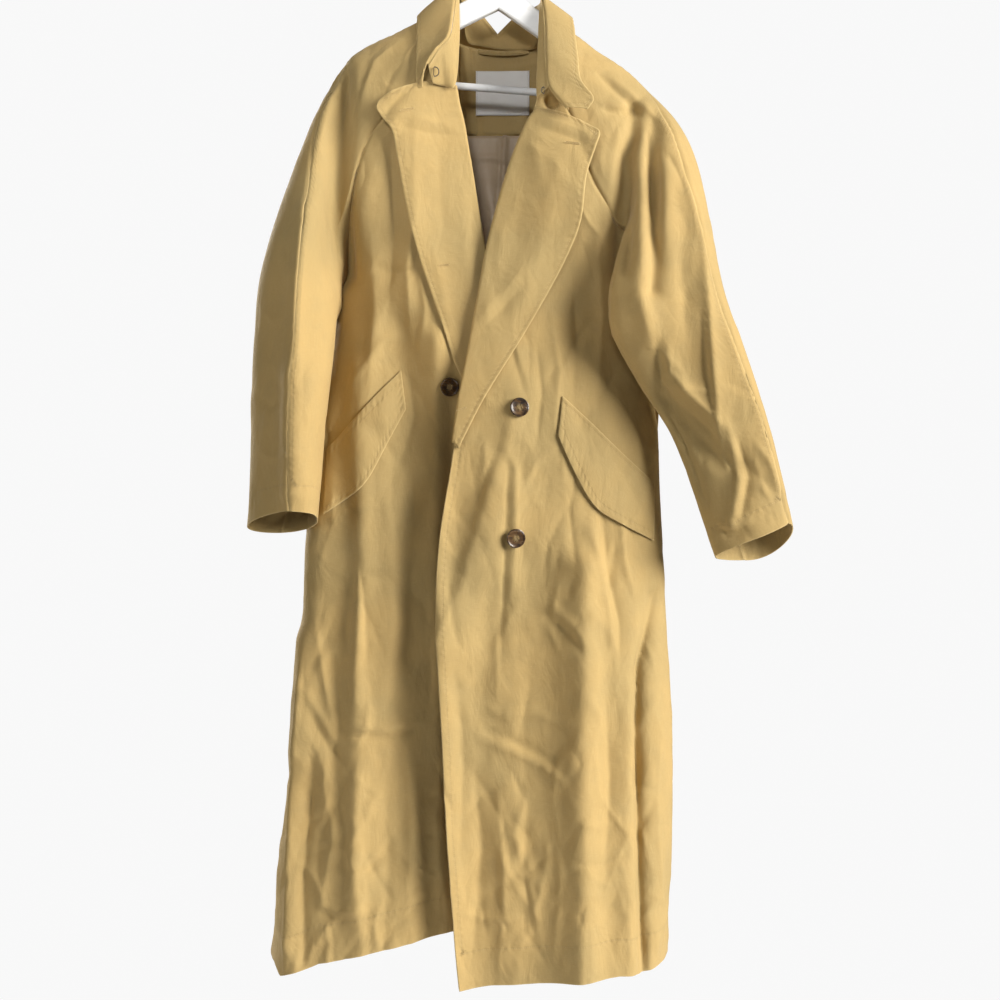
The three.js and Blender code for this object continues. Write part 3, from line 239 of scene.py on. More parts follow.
# Creases and smaller folds, placed one by one.
FRONT_DETAIL = folds(
    # wearer's right front
    (3.5, 9, 1.4, -118, -380, -128, -470, -122, -560), (-3, 8, 1.5, -150, -300, -146, -420, -154, -520),
    (3, 10, 1.6, -176, -420, -170, -520, -180, -640), (-4, 12, 1.8, -206, -720, -200, -850, -214, -980),
    (4, 9, 1.3, -196, -800, -190, -930, -196, -1040), (-3, 7, 1.3, -196, -830, -184, -905, -180, -985),
    (3.5, 12, 1.7, -150, -760, -146, -900, -156, -1040),
    (-3, 8, 1.4, -228, -960, -216, -1060, -230, -1140),
    (3.5, 8, 1.2, -250, -930, -236, -1010, -220, -1080),
    (2.5, 6, 1.2, -262, -1020, -236, -1062, -214, -1096),
    (-2.5, 6, 1.2, -258, -1044, -232, -1090, -206, -1120),
    (3, 5, 1.1, -214, -1062, -150, -1070, -112, -1060),
    (-2.5, 5, 1.1, -214, -1072, -150, -1081, -112, -1070),
    (3, 9, 1.4, -238, -1120, -222, -1210, -238, -1300),
    (-3.5, 9, 1.4, -222, -1120, -206, -1220, -214, -1330),
    (3, 8, 1.3, -190, -1130, -196, -1240, -184, -1350),
    (-2.5, 9, 1.5, -160, -1100, -150, -1230, -158, -1360),
    (2.5, 8, 1.3, -130, -1090, -120, -1200, -128, -1330),
    (2, 5, 1.1, -250, -1290, -214, -1300, -180, -1296),
    (-2, 5, 1.1, -246, -1302, -212, -1312, -170, -1304),
    (2.2, 6, 1.2, -270, -1240, -246, -1262, -228, -1300),
    (-2, 5, 1.2, -206, -880, -180, -868, -150, -872), (2, 5, 1.2, -190, -600, -160, -560, -132, -552),
    (-2.2, 6, 1.3, -130, -600, -120, -660, -140, -730),
    (2.2, 6, 1.3, -112, -470, -104, -520, -112, -580), (-2, 5, 1.2, -180, -460, -140, -470, -108, -462),
    # wearer's left front
    (5, 14, 1.8, 20, -640, -10, -720, -36, -800, -66, -920),
    (-4, 11, 1.7, 0, -680, -30, -760, -58, -860), (-3, 5, 1.1, 4, -722, 2, -800, -2, -900, -8, -980),
    (3, 6, 1.2, 14, -724, 12, -800, 8, -900), (5, 9, 1.3, 160, -1010, 158, -1150, 162, -1380),
    (-7, 6, 1.1, 199, -900, 174, -990, 171, -1065, 173, -1165, 177, -1380),
    (5, 7, 1.2, 190, -905, 164, -990, 161, -1065, 163, -1165, 167, -1380),
    (3, 6, 1.2, 60, -905, 90, -935, 104, -958), (-3, 6, 1.2, 52, -918, 84, -946, 100, -968),
    (3, 7, 1.3, 112, -800, 128, -880, 140, -960),
    (-3, 6, 1.2, 128, -790, 134, -860, 150, -930, 148, -990),
    (2.5, 6, 1.2, 150, -770, 156, -850, 170, -900),
    (2.5, 5, 1.1, -30, -1040, 0, -1048, 40, -1046, 80, -1060),
    (-2.5, 5, 1.1, -26, -1070, 10, -1082, 44, -1098, 70, -1112),
    (3, 6, 1.2, -30, -1080, 10, -1094, 46, -1112, 74, -1128),
    (-2.5, 8, 1.4, -62, -1000, -54, -1120, -58, -1240),
    (-2.5, 8, 1.4, -40, -1120, -30, -1220, -40, -1350), (3, 8, 1.4, -10, -1150, 0, -1250, -8, -1370),
    (-2.5, 6, 1.2, 30, -1150, 24, -1240, 36, -1330), (2.5, 7, 1.3, 66, -1160, 72, -1260, 62, -1360),
    (-2.5, 7, 1.3, 130, -1030, 136, -1130, 128, -1240),
    (2.5, 6, 1.2, 124, -1020, 112, -1090, 120, -1160), (2.2, 5, 1.1, 90, -1180, 120, -1190, 150, -1180),
    (-2.2, 5, 1.1, 84, -1230, 118, -1238, 156, -1232), (2.2, 5, 1.1, -60, -1300, -20, -1310, 30, -1304),
    (2.5, 7, 1.3, 60, -520, 70, -600, 64, -690), (-2.5, 7, 1.3, 90, -480, 96, -560, 88, -640),
    (3, 8, 1.4, 120, -420, 128, -520, 122, -620), (-2.5, 6, 1.2, 40, -560, 48, -630, 40, -700),
    (2, 5, 1.2, 70, -700, 40, -720, 22, -760), (-2, 5, 1.2, 100, -720, 84, -780, 92, -860),
    (2, 5, 1.2, 204, -1080, 200, -1200, 206, -1330), (-14, 9, 1.6, 50, -238, 66, -256),
    (7, 8, 1.05, -266, -960, -276, -1110, -279, -1217, -283, -1395),
    (-6, 9, 1.3, -250, -1100, -262, -1250, -258, -1390),
    # sleeves, seen from the front
    (3, 5, 1.1, -258, -392, -264, -510, -268, -640, -272, -784),
    (-4, 10, 1.6, -246, -430, -252, -560, -256, -700),
    (2.5, 6, 1.2, -318, -520, -296, -540, -280, -536),
    (-2.5, 6, 1.3, -322, -640, -300, -650, -284, -646), (2, 5, 1.2, -326, -700, -300, -716, -250, -712),
    (-2, 4, 1.2, -240, -640, -236, -700, -238, -760), (3, 8, 1.4, -204, -180, -232, -240, -246, -320),
    (-3, 8, 1.4, -180, -190, -200, -250, -206, -320), (2.5, 7, 1.4, -140, -160, -172, -190, -190, -240),
    (-2, 5, 1.2, -130, -190, -150, -210, -160, -250), (2, 5, 1.2, -100, -150, -126, -176, -140, -210),
    (-8, 9, 1.3, 172, -292, 158, -318, 160, -352, 156, -402, 160, -470),
    (6, 10, 1.4, 182, -286, 174, -320, 176, -360, 172, -420),
    (-6, 8, 1.3, 188, -290, 192, -316, 191, -402), (5, 9, 1.4, 204, -300, 208, -360, 204, -440),
    (-4, 7, 1.3, 208, -318, 224, -340, 232, -370), (4, 8, 1.3, 222, -330, 238, -380, 250, -440),
    (-4, 6, 1.1, 128, -256, 150, -258, 170, -256), (3, 6, 1.2, 128, -248, 150, -249, 172, -247),
    (7, 12, 1.6, 176, -420, 172, -512, 190, -578), (-5, 9, 1.3, 196, -330, 192, -420, 196, -480),
    (8, 10, 1.2, 250, -400, 260, -560, 272, -676, 288, -740),
    (-7, 8, 1.1, 252, -520, 258, -610, 268, -668),
    (-8, 7, 1.05, 194, -570, 199, -619, 220, -648, 274, -692),
    (6, 8, 1.1, 206, -568, 212, -606, 236, -634, 280, -676),
    (3, 5, 1.05, 199, -618, 230, -626, 262, -630), (-5, 9, 1.3, 206, -650, 232, -700, 262, -780),
    (7, 8, 1.1, 284, -674, 302, -738, 290, -808), (-5, 7, 1.1, 296, -690, 312, -740, 304, -796),
    (-4, 7, 1.2, 304, -480, 316, -540, 340, -590), (4, 6, 1.1, 290, -500, 304, -556, 322, -600),
    (3, 6, 1.1, 322, -700, 338, -720, 352, -760), (-4, 5, 1.05, 270, -808, 292, -814, 312, -806),
    (4, 5, 1.05, 276, -798, 296, -802, 318, -792), (-3, 12, 1.6, 224, -440, 232, -540, 238, -600),
    (3, 7, 1.4, 140, -210, 176, -240, 204, -270), (-3, 7, 1.4, 120, -200, 150, -230, 180, -262))
BACK_DETAIL = folds(
    (5, 14, 1.7, -60, -260, -70, -420, -64, -600), (-5, 14, 1.7, -20, -300, -16, -460, -26, -640),
    (5, 12, 1.6, 30, -280, 38, -440, 30, -620), (-4, 10, 1.5, 80, -330, 92, -460, 84, -600),
    (4, 9, 1.4, -120, -360, -128, -480, -118, -600), (3.5, 8, 1.3, -190, -520, -150, -560, -104, -566),
    (-3.5, 8, 1.3, -196, -548, -150, -590, -100, -596), (3.5, 8, 1.3, 180, -520, 140, -556, 96, -560),
    (-3.5, 8, 1.3, 186, -546, 144, -584, 96, -590),
    (3, 5, 1.1, -200, -700, -120, -712, -30, -706, 60, -716, 150, -704),
    (-3, 5, 1.1, -200, -712, -120, -724, -30, -719, 60, -728, 150, -716),
    (3, 5, 1.1, -230, -1046, -120, -1056, 0, -1050, 110, -1060, 190, -1050),
    (-3, 5, 1.1, -230, -1058, -120, -1069, 0, -1063, 110, -1072, 190, -1063),
    (6, 10, 1.4, -150, -760, -144, -980, -156, -1360), (-6, 11, 1.4, -76, -700, -70, -960, -82, -1370),
    (5, 9, 1.3, 10, -740, 4, -1000, 12, -1380), (-5, 9, 1.3, 104, -700, 110, -960, 100, -1370),
    (4, 8, 1.3, -226, -900, -230, -1100, -244, -1350), (4, 8, 1.3, 180, -820, 182, -1080, 178, -1360),
    (3, 7, 1.3, -110, -1120, -96, -1240, -104, -1370), (-3, 7, 1.3, 40, -1120, 50, -1240, 44, -1370),
    (4, 9, 1.4, -250, -330, -290, -420, -310, -520), (-4, 9, 1.4, -270, -300, -310, -400, -336, -520),
    (4, 8, 1.3, -290, -560, -300, -660, -310, -760), (-3, 7, 1.3, -320, -580, -330, -680, -336, -770),
    (4, 9, 1.4, 240, -330, 276, -430, 296, -540), (-4, 9, 1.4, 210, -340, 240, -450, 270, -560),
    (4, 8, 1.3, 280, -600, 310, -690, 330, -780), (-3, 7, 1.3, 260, -620, 290, -710, 312, -800),
    (3, 7, 1.4, -110, -180, -160, -230, -200, -300), (3, 7, 1.4, 96, -190, 140, -240, 176, -310))


# ---- curves and grids ----
def unit(v):
    return v / np.maximum(np.linalg.norm(v, axis=-1, keepdims=True), 1e-9)


def through(rows, place, corner=-1):
    """A smooth curve through the rows, at places counted in rows. It may turn sharply at corner."""
    rows = np.asarray(rows, float)
    place = np.asarray(place, float)
    last = len(rows) - 1
    i = np.clip(np.floor(place).astype(int), 0, last - 1)
    t = (place - i)[:, None]
    p1, p2 = rows[i], rows[i + 1]
    starts = ((i == 0) | (i == corner))[:, None]
    ends = ((i + 1 == last) | (i + 1 == corner))[:, None]
    p0 = np.where(starts, 2 * p1 - p2, rows[np.maximum(i - 1, 0)])
    p3 = np.where(ends, 2 * p2 - p1, rows[np.minimum(i + 2, last)])
    return 0.5 * (2 * p1 + (p2 - p0) * t + (2 * p0 - 5 * p1 + 4 * p2 - p3) * t ** 2
                  + (3 * p1 - p0 - 3 * p2 + p3) * t ** 3)


def bow(start, start_pull, end_pull, end, t):
    """Rows bowed from start to end by the pulls at their ends: (rows, 3) each and places t."""
    s = 1 - t
    weights = [s ** 3, 3 * s ** 2 * t, 3 * s * t ** 2, t ** 3]
    points = [start, start + start_pull, end + end_pull, end]
    return sum(p[:, None, :] * w[None, :, None] for p, w in zip(points, weights))


def crowded(cells):
    inner = np.linspace(CROWD[-1], 1 - CROWD[-1], cells + 1)[1:-1]
    return np.concatenate([[0], CROWD, inner, 1 - np.array(CROWD[::-1]), [1]])


def row_places(rows, low_cells):
    low = np.linspace(UNDERARM_ROW, rows - 1, low_cells + 1)[1:-1]
    hem = rows - 1 - np.array(HEM_CROWD)
    return np.concatenate([np.linspace(0, UNDERARM_ROW, TOP_CELLS + 1), low, hem])


def column(table, name):
    return np.array([row[name] for row in table], float)


def front_grid(table, raglan, side):
    seam = [row["front"] for row in raglan] + side
    at = row_places(len(table), BODY_CELLS)
    return bow(through(seam, at, UNDERARM_ROW), through(column(table, "side"), at),
               through(column(table, "inner"), at), through(column(table, "edge"), at),
               crowded(FRONT_COLUMNS))


def back_grid():
    at = row_places(len(BACK), BODY_CELLS)
    right = [row["back"] for row in RIGHT_RAGLAN] + RIGHT_SIDE
    left = [row["back"] for row in LEFT_RAGLAN] + LEFT_SIDE
    return bow(through(right, at, UNDERARM_ROW), through(column(BACK, "right"), at),
               through(column(BACK, "left"), at), through(left, at, UNDERARM_ROW),
               crowded(BACK_COLUMNS))


def sleeve_grid(table, raglan, half):
    seam = [row[half] for row in raglan] + [row["under"] for row in table[UNDERARM_ROW + 1:]]
    at = row_places(len(table), SLEEVE_CELLS)
    return bow(through(column(table, "over"), at), through(column(table, half + "_top"), at),
               through(column(table, half + "_low"), at), through(seam, at, UNDERARM_ROW),
               crowded(SLEEVE_COLUMNS))


def shared_normals(grids):
    """Normals of grids, welded where the grids meet so that neighbours stay in line."""
    sums = []
    for p in grids:
        n = np.zeros_like(p)
        face = np.cross(p[1:, 1:] - p[:-1, :-1], p[:-1, 1:] - p[1:, :-1])
        for rows, columns in ((slice(0, -1), slice(0, -1)), (slice(0, -1), slice(1, None)),
                              (slice(1, None), slice(1, None)), (slice(1, None), slice(0, -1))):
            n[rows, columns] += face
        sums.append(n.reshape(-1, 3))
    places = np.round(np.concatenate([p.reshape(-1, 3) for p in grids]) * 50).astype(np.int64)
    _, same = np.unique(places, axis=0, return_inverse=True)
    same = same.reshape(-1)
    joined = np.zeros((same.max() + 1, 3))
    np.add.at(joined, same, np.concatenate(sums))
    joined = unit(joined)[same]
    ends = np.cumsum([0] + [p.shape[0] * p.shape[1] for p in grids])
    return [joined[a:b].reshape(p.shape) for a, b, p in zip(ends, ends[1:], grids)]


# ---- folds and crumples ----
def fold_sum(points, normals, rows, front):
    """Height of all the folds at each point. Folds of the front act only where the cloth faces it."""
    x, z = points[..., 0], points[..., 2]
    facing = np.clip(normals[..., 1] * (-1 if front else 1), 0, 1)
    total = np.zeros(x.shape)
    for row in rows:
        line = np.array(row["line"], float)
        reach = row["width"] * 4
        near = ((x > line[:, 0].min() - reach) & (x < line[:, 0].max() + reach)
                & (z > line[:, 1].min() - reach) & (z < line[:, 1].max() + reach) & (facing > 0))
        if not near.any():
            continue
        px, pz = x[near], z[near]
        steps = np.hypot(*np.diff(line, axis=0).T)
        run = np.concatenate([[0], np.cumsum(steps)]) / steps.sum()
        best = np.full(px.shape, 1e9)
        along = np.zeros(px.shape)
        for k, ((ax, az), (bx, bz)) in enumerate(zip(line, line[1:])):
            t = ((px - ax) * (bx - ax) + (pz - az) * (bz - az)) / ((bx - ax) ** 2 + (bz - az) ** 2)
            t = np.clip(t, 0, 1)
            d = np.hypot(px - ax - (bx - ax) * t, pz - az - (bz - az) * t)
            closer = d < best
            best = np.where(closer, d, best)
            along = np.where(closer, run[k] + (run[k + 1] - run[k]) * t, along)
        taper = 1.0
        if row["tapered"]:
            taper = np.sqrt(np.clip(np.sin(np.pi * np.clip(along * 0.96 + 0.02, 0, 1)), 0, 1))
        shape = np.exp(-(best / row["width"]) ** row["crisp"])
        total[near] += row["height"] * shape * taper * facing[near]
    return total


def loose_creases(seed, count, box, length, width, height, lean):
    """Small creases strewn over a box of x and z, leaning about that angle from upright."""
    draw = np.random.default_rng(seed)
    rows = []
    for _ in range(count):
        x, z = draw.uniform(box[0], box[1]), draw.uniform(box[2], box[3])
        angle = draw.normal(lean, 0.5)
        reach = draw.uniform(*length) / 2
        bend = draw.normal(0, 0.22) * reach
        dx, dz = math.sin(angle) * reach, math.cos(angle) * reach
        tall = draw.uniform(*height) * (1 if draw.random() < 0.55 else -1)
        rows.append((tall, draw.uniform(*width), draw.uniform(0.95, 1.25), x - dx, z - dz,
                     x + bend * math.cos(angle), z - bend * math.sin(angle), x + dx, z + dz))
    return folds(*rows)


# Crushed facets: a facet's size, how much longer it is than wide, its height, and a shift.
FACETS = rows_of("size tall height shift", (92, 1.9, 5.8, 3.1), (44, 1.6, 3.9, 7.7), (22, 1.5, 2.1, 5.0))
FACET_GAIN = 1.6
FACET_FLANK = 0.6         # a facet rises this part of its size from its border
SWELL = 1.6               # height of the slow swell under the facets
CALM_ABOVE, CRUSHED_BELOW = 420, 1040    # how far down the crushing starts and is at its full


def crumple(points):
    """Creased facets all over the cloth, from its place alone, so that seams still meet."""
    flat = points.reshape(-1, 3)
    out = np.zeros(len(flat))
    for i, (x, y, z) in enumerate(flat):
        lower = min(max((-z - CALM_ABOVE) / (CRUSHED_BELOW - CALM_ABOVE), 0), 1)
        crushed = 0.62 + 0.4 * lower + 0.7 * noise.noise(Vector((x / 120, y / 120, z / 210)))
        for row in FACETS:
            size, shift = row["size"], row["shift"]
            near, centres = noise.voronoi(
                Vector((x / size + shift, y / size, z / (size * row["tall"]) + shift)))
            sign = noise.noise(centres[0] * 7.3)
            out[i] += row["height"] * crushed * FACET_GAIN * sign * min(near[1] - near[0], FACET_FLANK)
        out[i] += SWELL * noise.noise(Vector((x / 74, y / 74 + 3.1, z / 150)))
    return out.reshape(points.shape[:2])


# ---- seams and edges ----
BORDERS = ("start", "end", "top", "low")    # first column, last column, first row, last row
UNSEWN = 90.0             # stands for the distance to the stitches on a piece without any


def run_of(points, axis):
    """How far each point lies from the first, measured on the cloth along a grid's lines."""
    steps = np.linalg.norm(np.diff(points, axis=axis), axis=-1)
    return np.insert(np.cumsum(steps, axis=axis), 0, 0, axis=axis)


def border_ways(points):
    """For each border, the distance from it and the run along it, in millimetres, on the cloth."""
    across, down = run_of(points, 1), run_of(points, 0)

    def square(first, second, along):
        """Sine of the angle between a border and the grid lines that leave it."""
        step, side = unit(second - first), unit(np.gradient(along, axis=0))
        return np.linalg.norm(np.cross(step, side), axis=-1)

    lean = dict(
        start=square(points[:, 0], points[:, COLUMNS_IN], points[:, 0])[:, None],
        end=square(points[:, -1], points[:, -1 - COLUMNS_IN], points[:, -1])[:, None],
        top=square(points[0], points[ROWS_IN], points[0])[None, :],
        low=square(points[-1], points[-1 - ROWS_IN], points[-1])[None, :])
    far = dict(start=across, end=across[:, -1:] - across, top=down, low=down[-1:] - down)
    runs = dict(start=down[:, :1] + 0 * across, end=down[:, -1:] + 0 * across,
                top=across[:1] + 0 * down, low=across[-1:] + 0 * down)
    return {name: (far[name] * np.clip(lean[name], 0.3, 1), runs[name]) for name in BORDERS}


SEAM_DEPTH, SEAM_WELT = 1.3, 0.35        # a seam's groove, and the cloth's rise beside it
PUCKER_HEIGHT, STITCH_DEPTH = 0.35, 0.15


def ridge(d, width):
    return np.exp(-(d / width) ** 2)


def pucker(run, seed):
    """An uneven ripple along a seam, about 11 mm from crest to crest."""
    return (np.sin(run * 0.57 + 2.2 * np.sin(run * 0.041 + seed) + seed)
            * (0.55 + 0.45 * np.sin(run * 0.083 + 1.7 * seed)))


def seam_relief(ways, seams, seed):
    """Grooves at seams with a rise beside them, and puckers and stitch dents along stitching, along the
    normal.
    """
    total = 0
    for order, (name, (kind, offset)) in enumerate(seams.items()):
        d, run = ways[name]
        if kind == "seam":
            total = total - SEAM_DEPTH * ridge(d, 2.4) + SEAM_WELT * ridge(d - 5, 3)
        if offset:
            middle, half = min(offset * 0.6, offset - 2), min(offset * 0.6 + 3, 7)
            total = total + PUCKER_HEIGHT * pucker(run, seed + order) * ridge(d - middle, half)
            total = total - STITCH_DEPTH * ridge(d - offset, 1.8)
    return total


def seam_lines(ways, seams):
    """What the finish reads: distance past the stitching, run along it and distance to the edge."""
    nearest = np.min([d for d, _ in ways.values()], axis=0)
    past, run = None, None
    for name, (_, offset) in seams.items():
        if not offset:
            continue
        d = ways[name][0] - offset
        if past is None:
            past, run = d, ways[name][1]
        else:
            run = np.where(d < past, ways[name][1], run)
            past = np.minimum(d, past)
    if past is None:
        past, run = np.full(nearest.shape, UNSEWN), np.zeros(nearest.shape)
    return np.stack([past, run, nearest], axis=-1)


# ---- meshes ----
RIM_WALL = 0.35           # part of a piece's wall that is left at a rounded rim
IN_FRONT = -400           # y well in front of the coat
RIM_SEARCH = range(0, 40, 2)    # steps outwards for a place that lies past the cloth's rim


def grid_faces(rows, columns, start, turned):
    j, i = np.meshgrid(np.arange(rows - 1), np.arange(columns - 1), indexing="ij")
    a = start + j * columns + i
    quads = np.stack([a, a + columns, a + columns + 1, a + 1], axis=-1).reshape(-1, 4)
    return quads[:, ::-1] if turned else quads


def linked(name, data):
    holder = bpy.data.objects.new(name, data)
    bpy.context.scene.collection.objects.link(holder)
    return holder


def cloth_mesh(name, points, normals, thickness, lines, finish, thin_rim=0.0):
    """A closed wall of cloth about its middle surface, with a flat map of the cloth and its seams."""
    rows, columns = points.shape[:2]
    count = rows * columns
    wall = np.full((rows, columns), float(thickness))
    if thin_rim:
        edge = np.clip(lines[..., 2] / thin_rim, 0, 1)
        wall *= RIM_WALL + (1 - RIM_WALL) * np.sqrt(1 - (1 - edge) ** 2)
    half = normals * wall[..., None] / 2
    corners = np.concatenate([(points + half).reshape(-1, 3), (points - half).reshape(-1, 3)]) * MM
    rim = np.concatenate([
        np.arange(columns), columns - 1 + columns * np.arange(1, rows),
        count - 1 - np.arange(1, columns), (count - columns) - columns * np.arange(1, rows)])
    loop = rim[:-1] if rim[-1] == rim[0] else rim
    after = np.roll(loop, -1)
    rim_quads = np.stack([loop, after, after + count, loop + count], axis=-1)
    faces = np.concatenate([grid_faces(rows, columns, 0, False),
                            grid_faces(rows, columns, count, True), rim_quads])
    mesh = bpy.data.meshes.new(name)
    mesh.from_pydata(corners.tolist(), [], faces.tolist())
    across = run_of(points, 1)
    across -= across[:, -1:] / 2
    down = run_of(points[:, columns // 2], 0)
    flat = np.stack([across, np.broadcast_to(down[:, None], across.shape)], axis=-1).reshape(-1, 2)
    index = np.empty(len(mesh.loops), np.int32)
    mesh.loops.foreach_get("vertex_index", index)
    layer = mesh.uv_layers.new(name="Cut")
    layer.data.foreach_set("uv", (np.concatenate([flat, flat]) * MM)[index].astype(np.float32).ravel())
    sewing = mesh.attributes.new("sewing", "FLOAT_VECTOR", "POINT")
    sewn = lines.reshape(-1, 3)
    sewing.data.foreach_set("vector", np.concatenate([sewn, sewn]).astype(np.float32).ravel())
    mesh.polygons.foreach_set("use_smooth", [True] * len(mesh.polygons))
    mesh.materials.append(finish)
    mesh.update()
    return linked(name, mesh)


def settle(piece, slot, *nodes):
    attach(piece, "root")
    if nodes:
        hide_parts(*nodes)
    return piece


def tree_of(*grids):
    """A search tree over the middle surfaces of some grids."""
    corners, faces, start = [], [], 0
    for p in grids:
        corners.append(p.reshape(-1, 3))
        faces.append(grid_faces(p.shape[0], p.shape[1], start, False))
        start += p.shape[0] * p.shape[1]
    return BVHTree.FromPolygons(np.concatenate(corners).tolist(), np.concatenate(faces).tolist())


def depth_at(tree, x, z, back=False):
    """The y and normal of the cloth at x and z: its foremost layer, or from inside, the back."""
    start = Vector((x, 0 if back else IN_FRONT, z))
    hit, normal, _, _ = tree.ray_cast(start, Vector((0, 1, 0)))
    if hit is None:
        return None
    return hit.y, (normal if normal.y < 0 else -normal)


def depths(tree, xz, outwards=0, back=False):
    """Depth of the cloth below a grid of x and z. Past its rim, the rim's depth is taken."""
    y = np.zeros(xz.shape[:2])
    for j, row in enumerate(xz):
        for i, (x, z) in enumerate(row):
            for step in RIM_SEARCH:
                found = depth_at(tree, x + outwards * step, z, back)
                if found:
                    break
            y[j, i] = found[0] if found else np.nan
    for lines in (y.T, y):
        for line in lines:
            good = ~np.isnan(line)
            if good.any():
                line[:] = np.interp(np.arange(len(line)), np.nonzero(good)[0], line[good])
    return y


def smoothed(values, rounds):
    for _ in range(rounds):
        padded = np.pad(values, 1, mode="edge")
        values = (4 * values + padded[:-2, 1:-1] + padded[2:, 1:-1]
                  + padded[1:-1, :-2] + padded[1:-1, 2:]) / 8
    return values


# ---- finishes ----
class Field:
    """A number that changes over a surface. Arithmetic on it adds its nodes."""

    def __init__(self, finish, socket):
        self.finish, self.socket = finish, socket

    def maths(self, operation, *values):
        return self.finish.node("Math", {"operation": operation}, dict(enumerate(values)))

    def __add__(self, other):
        return self.maths("ADD", self, other)

    def __sub__(self, other):
        return self.maths("SUBTRACT", self, other)

    def __rsub__(self, other):
        return self.maths("SUBTRACT", other, self)

    def __mul__(self, other):
        return self.maths("MULTIPLY", self, other)

    def __truediv__(self, other):
        return self.maths("DIVIDE", self, other)

    def __pow__(self, other):
        return self.maths("POWER", self, other)

    def __abs__(self):
        return self.maths("ABSOLUTE", self)

    __radd__, __rmul__ = __add__, __mul__

    def below(self, limit, soft):
        """1 below the limit and 0 above it, over a soft step."""
        return self.finish.node("MapRange", {"interpolation_type": "SMOOTHSTEP"},
                                {0: self, 1: limit - soft, 2: limit + soft, 3: 1.0, 4: 0.0})

    def fraction(self):
        return self.maths("FRACT", self)

    def wave(self, period):
        return self.maths("SINE", self * (2 * math.pi / period))


class Finish:
    def __init__(self, name, base, roughness, **constants):
        self.material = bpy.data.materials.new(name)
        self.material.use_nodes = True
        self.tree = self.material.node_tree
        self.tree.nodes.clear()
        output = self.tree.nodes.new("ShaderNodeOutputMaterial")
        self.shader = self.tree.nodes.new("ShaderNodeBsdfPrincipled")
        self.tree.links.new(self.shader.outputs[0], output.inputs[0])
        self.set("Base Color", (*base, 1))
        self.set("Roughness", roughness)
        for socket, value in constants.items():
            self.set(socket.replace("_", " "), value)
        self.material.diffuse_color = (*base, 1)

    def set(self, socket, value):
        self.feed(self.shader.inputs[socket], value)

    def done(self, colour, roughness=None, relief=None):
        """Feeds the shader what changes over the surface, and gives the material."""
        for socket, value in (("Base Color", colour), ("Roughness", roughness), ("Normal", relief)):
            if value is not None:
                self.set(socket, value)
        return self.material

    def feed(self, socket, value):
        if isinstance(value, Field):
            self.tree.links.new(value.socket, socket)
        else:
            socket.default_value = value

    def node(self, kind, settings=None, values=None, out=0):
        made = self.tree.nodes.new("ShaderNode" + kind)
        for name, value in (settings or {}).items():
            setattr(made, name, value)
        for socket, value in (values or {}).items():
            self.feed(made.inputs[socket], value)
        return Field(self, made.outputs[out])

    def parts(self, vector):
        split = self.tree.nodes.new("ShaderNodeSeparateXYZ")
        self.feed(split.inputs[0], vector)
        return [Field(self, socket) for socket in split.outputs]

    def place(self):
        return self.node("TexCoord", out=3)

    def stretched(self, vector, *scale):
        return self.node("Mapping", {}, {0: vector, 3: scale})

    def flat(self, across, down):
        """The piece's flat map in metres, stretched."""
        return self.stretched(self.node("UVMap", {"uv_map": "Cut"}), across, down, 1.0)

    def sewing(self):
        """Distance past the stitches, run along them and distance to the piece's edge."""
        return self.parts(self.node("Attribute", {"attribute_name": "sewing"}, out=1))

    def noise(self, vector, scale, detail=2.0, rough=0.5, warp=0.0):
        return self.node("TexNoise", {}, {"Vector": vector, "Scale": scale, "Detail": detail,
                                          "Roughness": rough, "Distortion": warp})

    def cells(self, vector, scale):
        """Distance to the nearest border of straight-sided cells, taller than wide."""
        waves = self.noise(vector, scale * 0.8, 1.0) * 0.012
        wavy = self.node("VectorMath", {"operation": "ADD"}, {0: vector, 1: waves})
        return self.node("TexVoronoi", {"feature": "DISTANCE_TO_EDGE"},
                         {"Vector": self.stretched(wavy, 1.0, 1.0, 0.6), "Scale": scale})

    def mix(self, amount, first, second):
        made = self.tree.nodes.new("ShaderNodeMix")
        made.data_type = "RGBA"
        self.feed(made.inputs[0], amount)
        self.feed(made.inputs[6], first if isinstance(first, Field) else (*first, 1))
        self.feed(made.inputs[7], second if isinstance(second, Field) else (*second, 1))
        return Field(self, made.outputs[2])

    def bump(self, height, distance, strength=1.0, below=None):
        values = {"Height": height, "Distance": distance, "Strength": strength}
        if below is not None:
            values["Normal"] = below
        return self.node("Bump", {}, values)


COTTON_PALE = (0.62, 0.47, 0.22)
THREAD = (0.58, 0.43, 0.2)
# painted shade: the dark brown laid along the sunk stitching grooves
GROOVE_SHADE = (0.25, 0.165, 0.06)


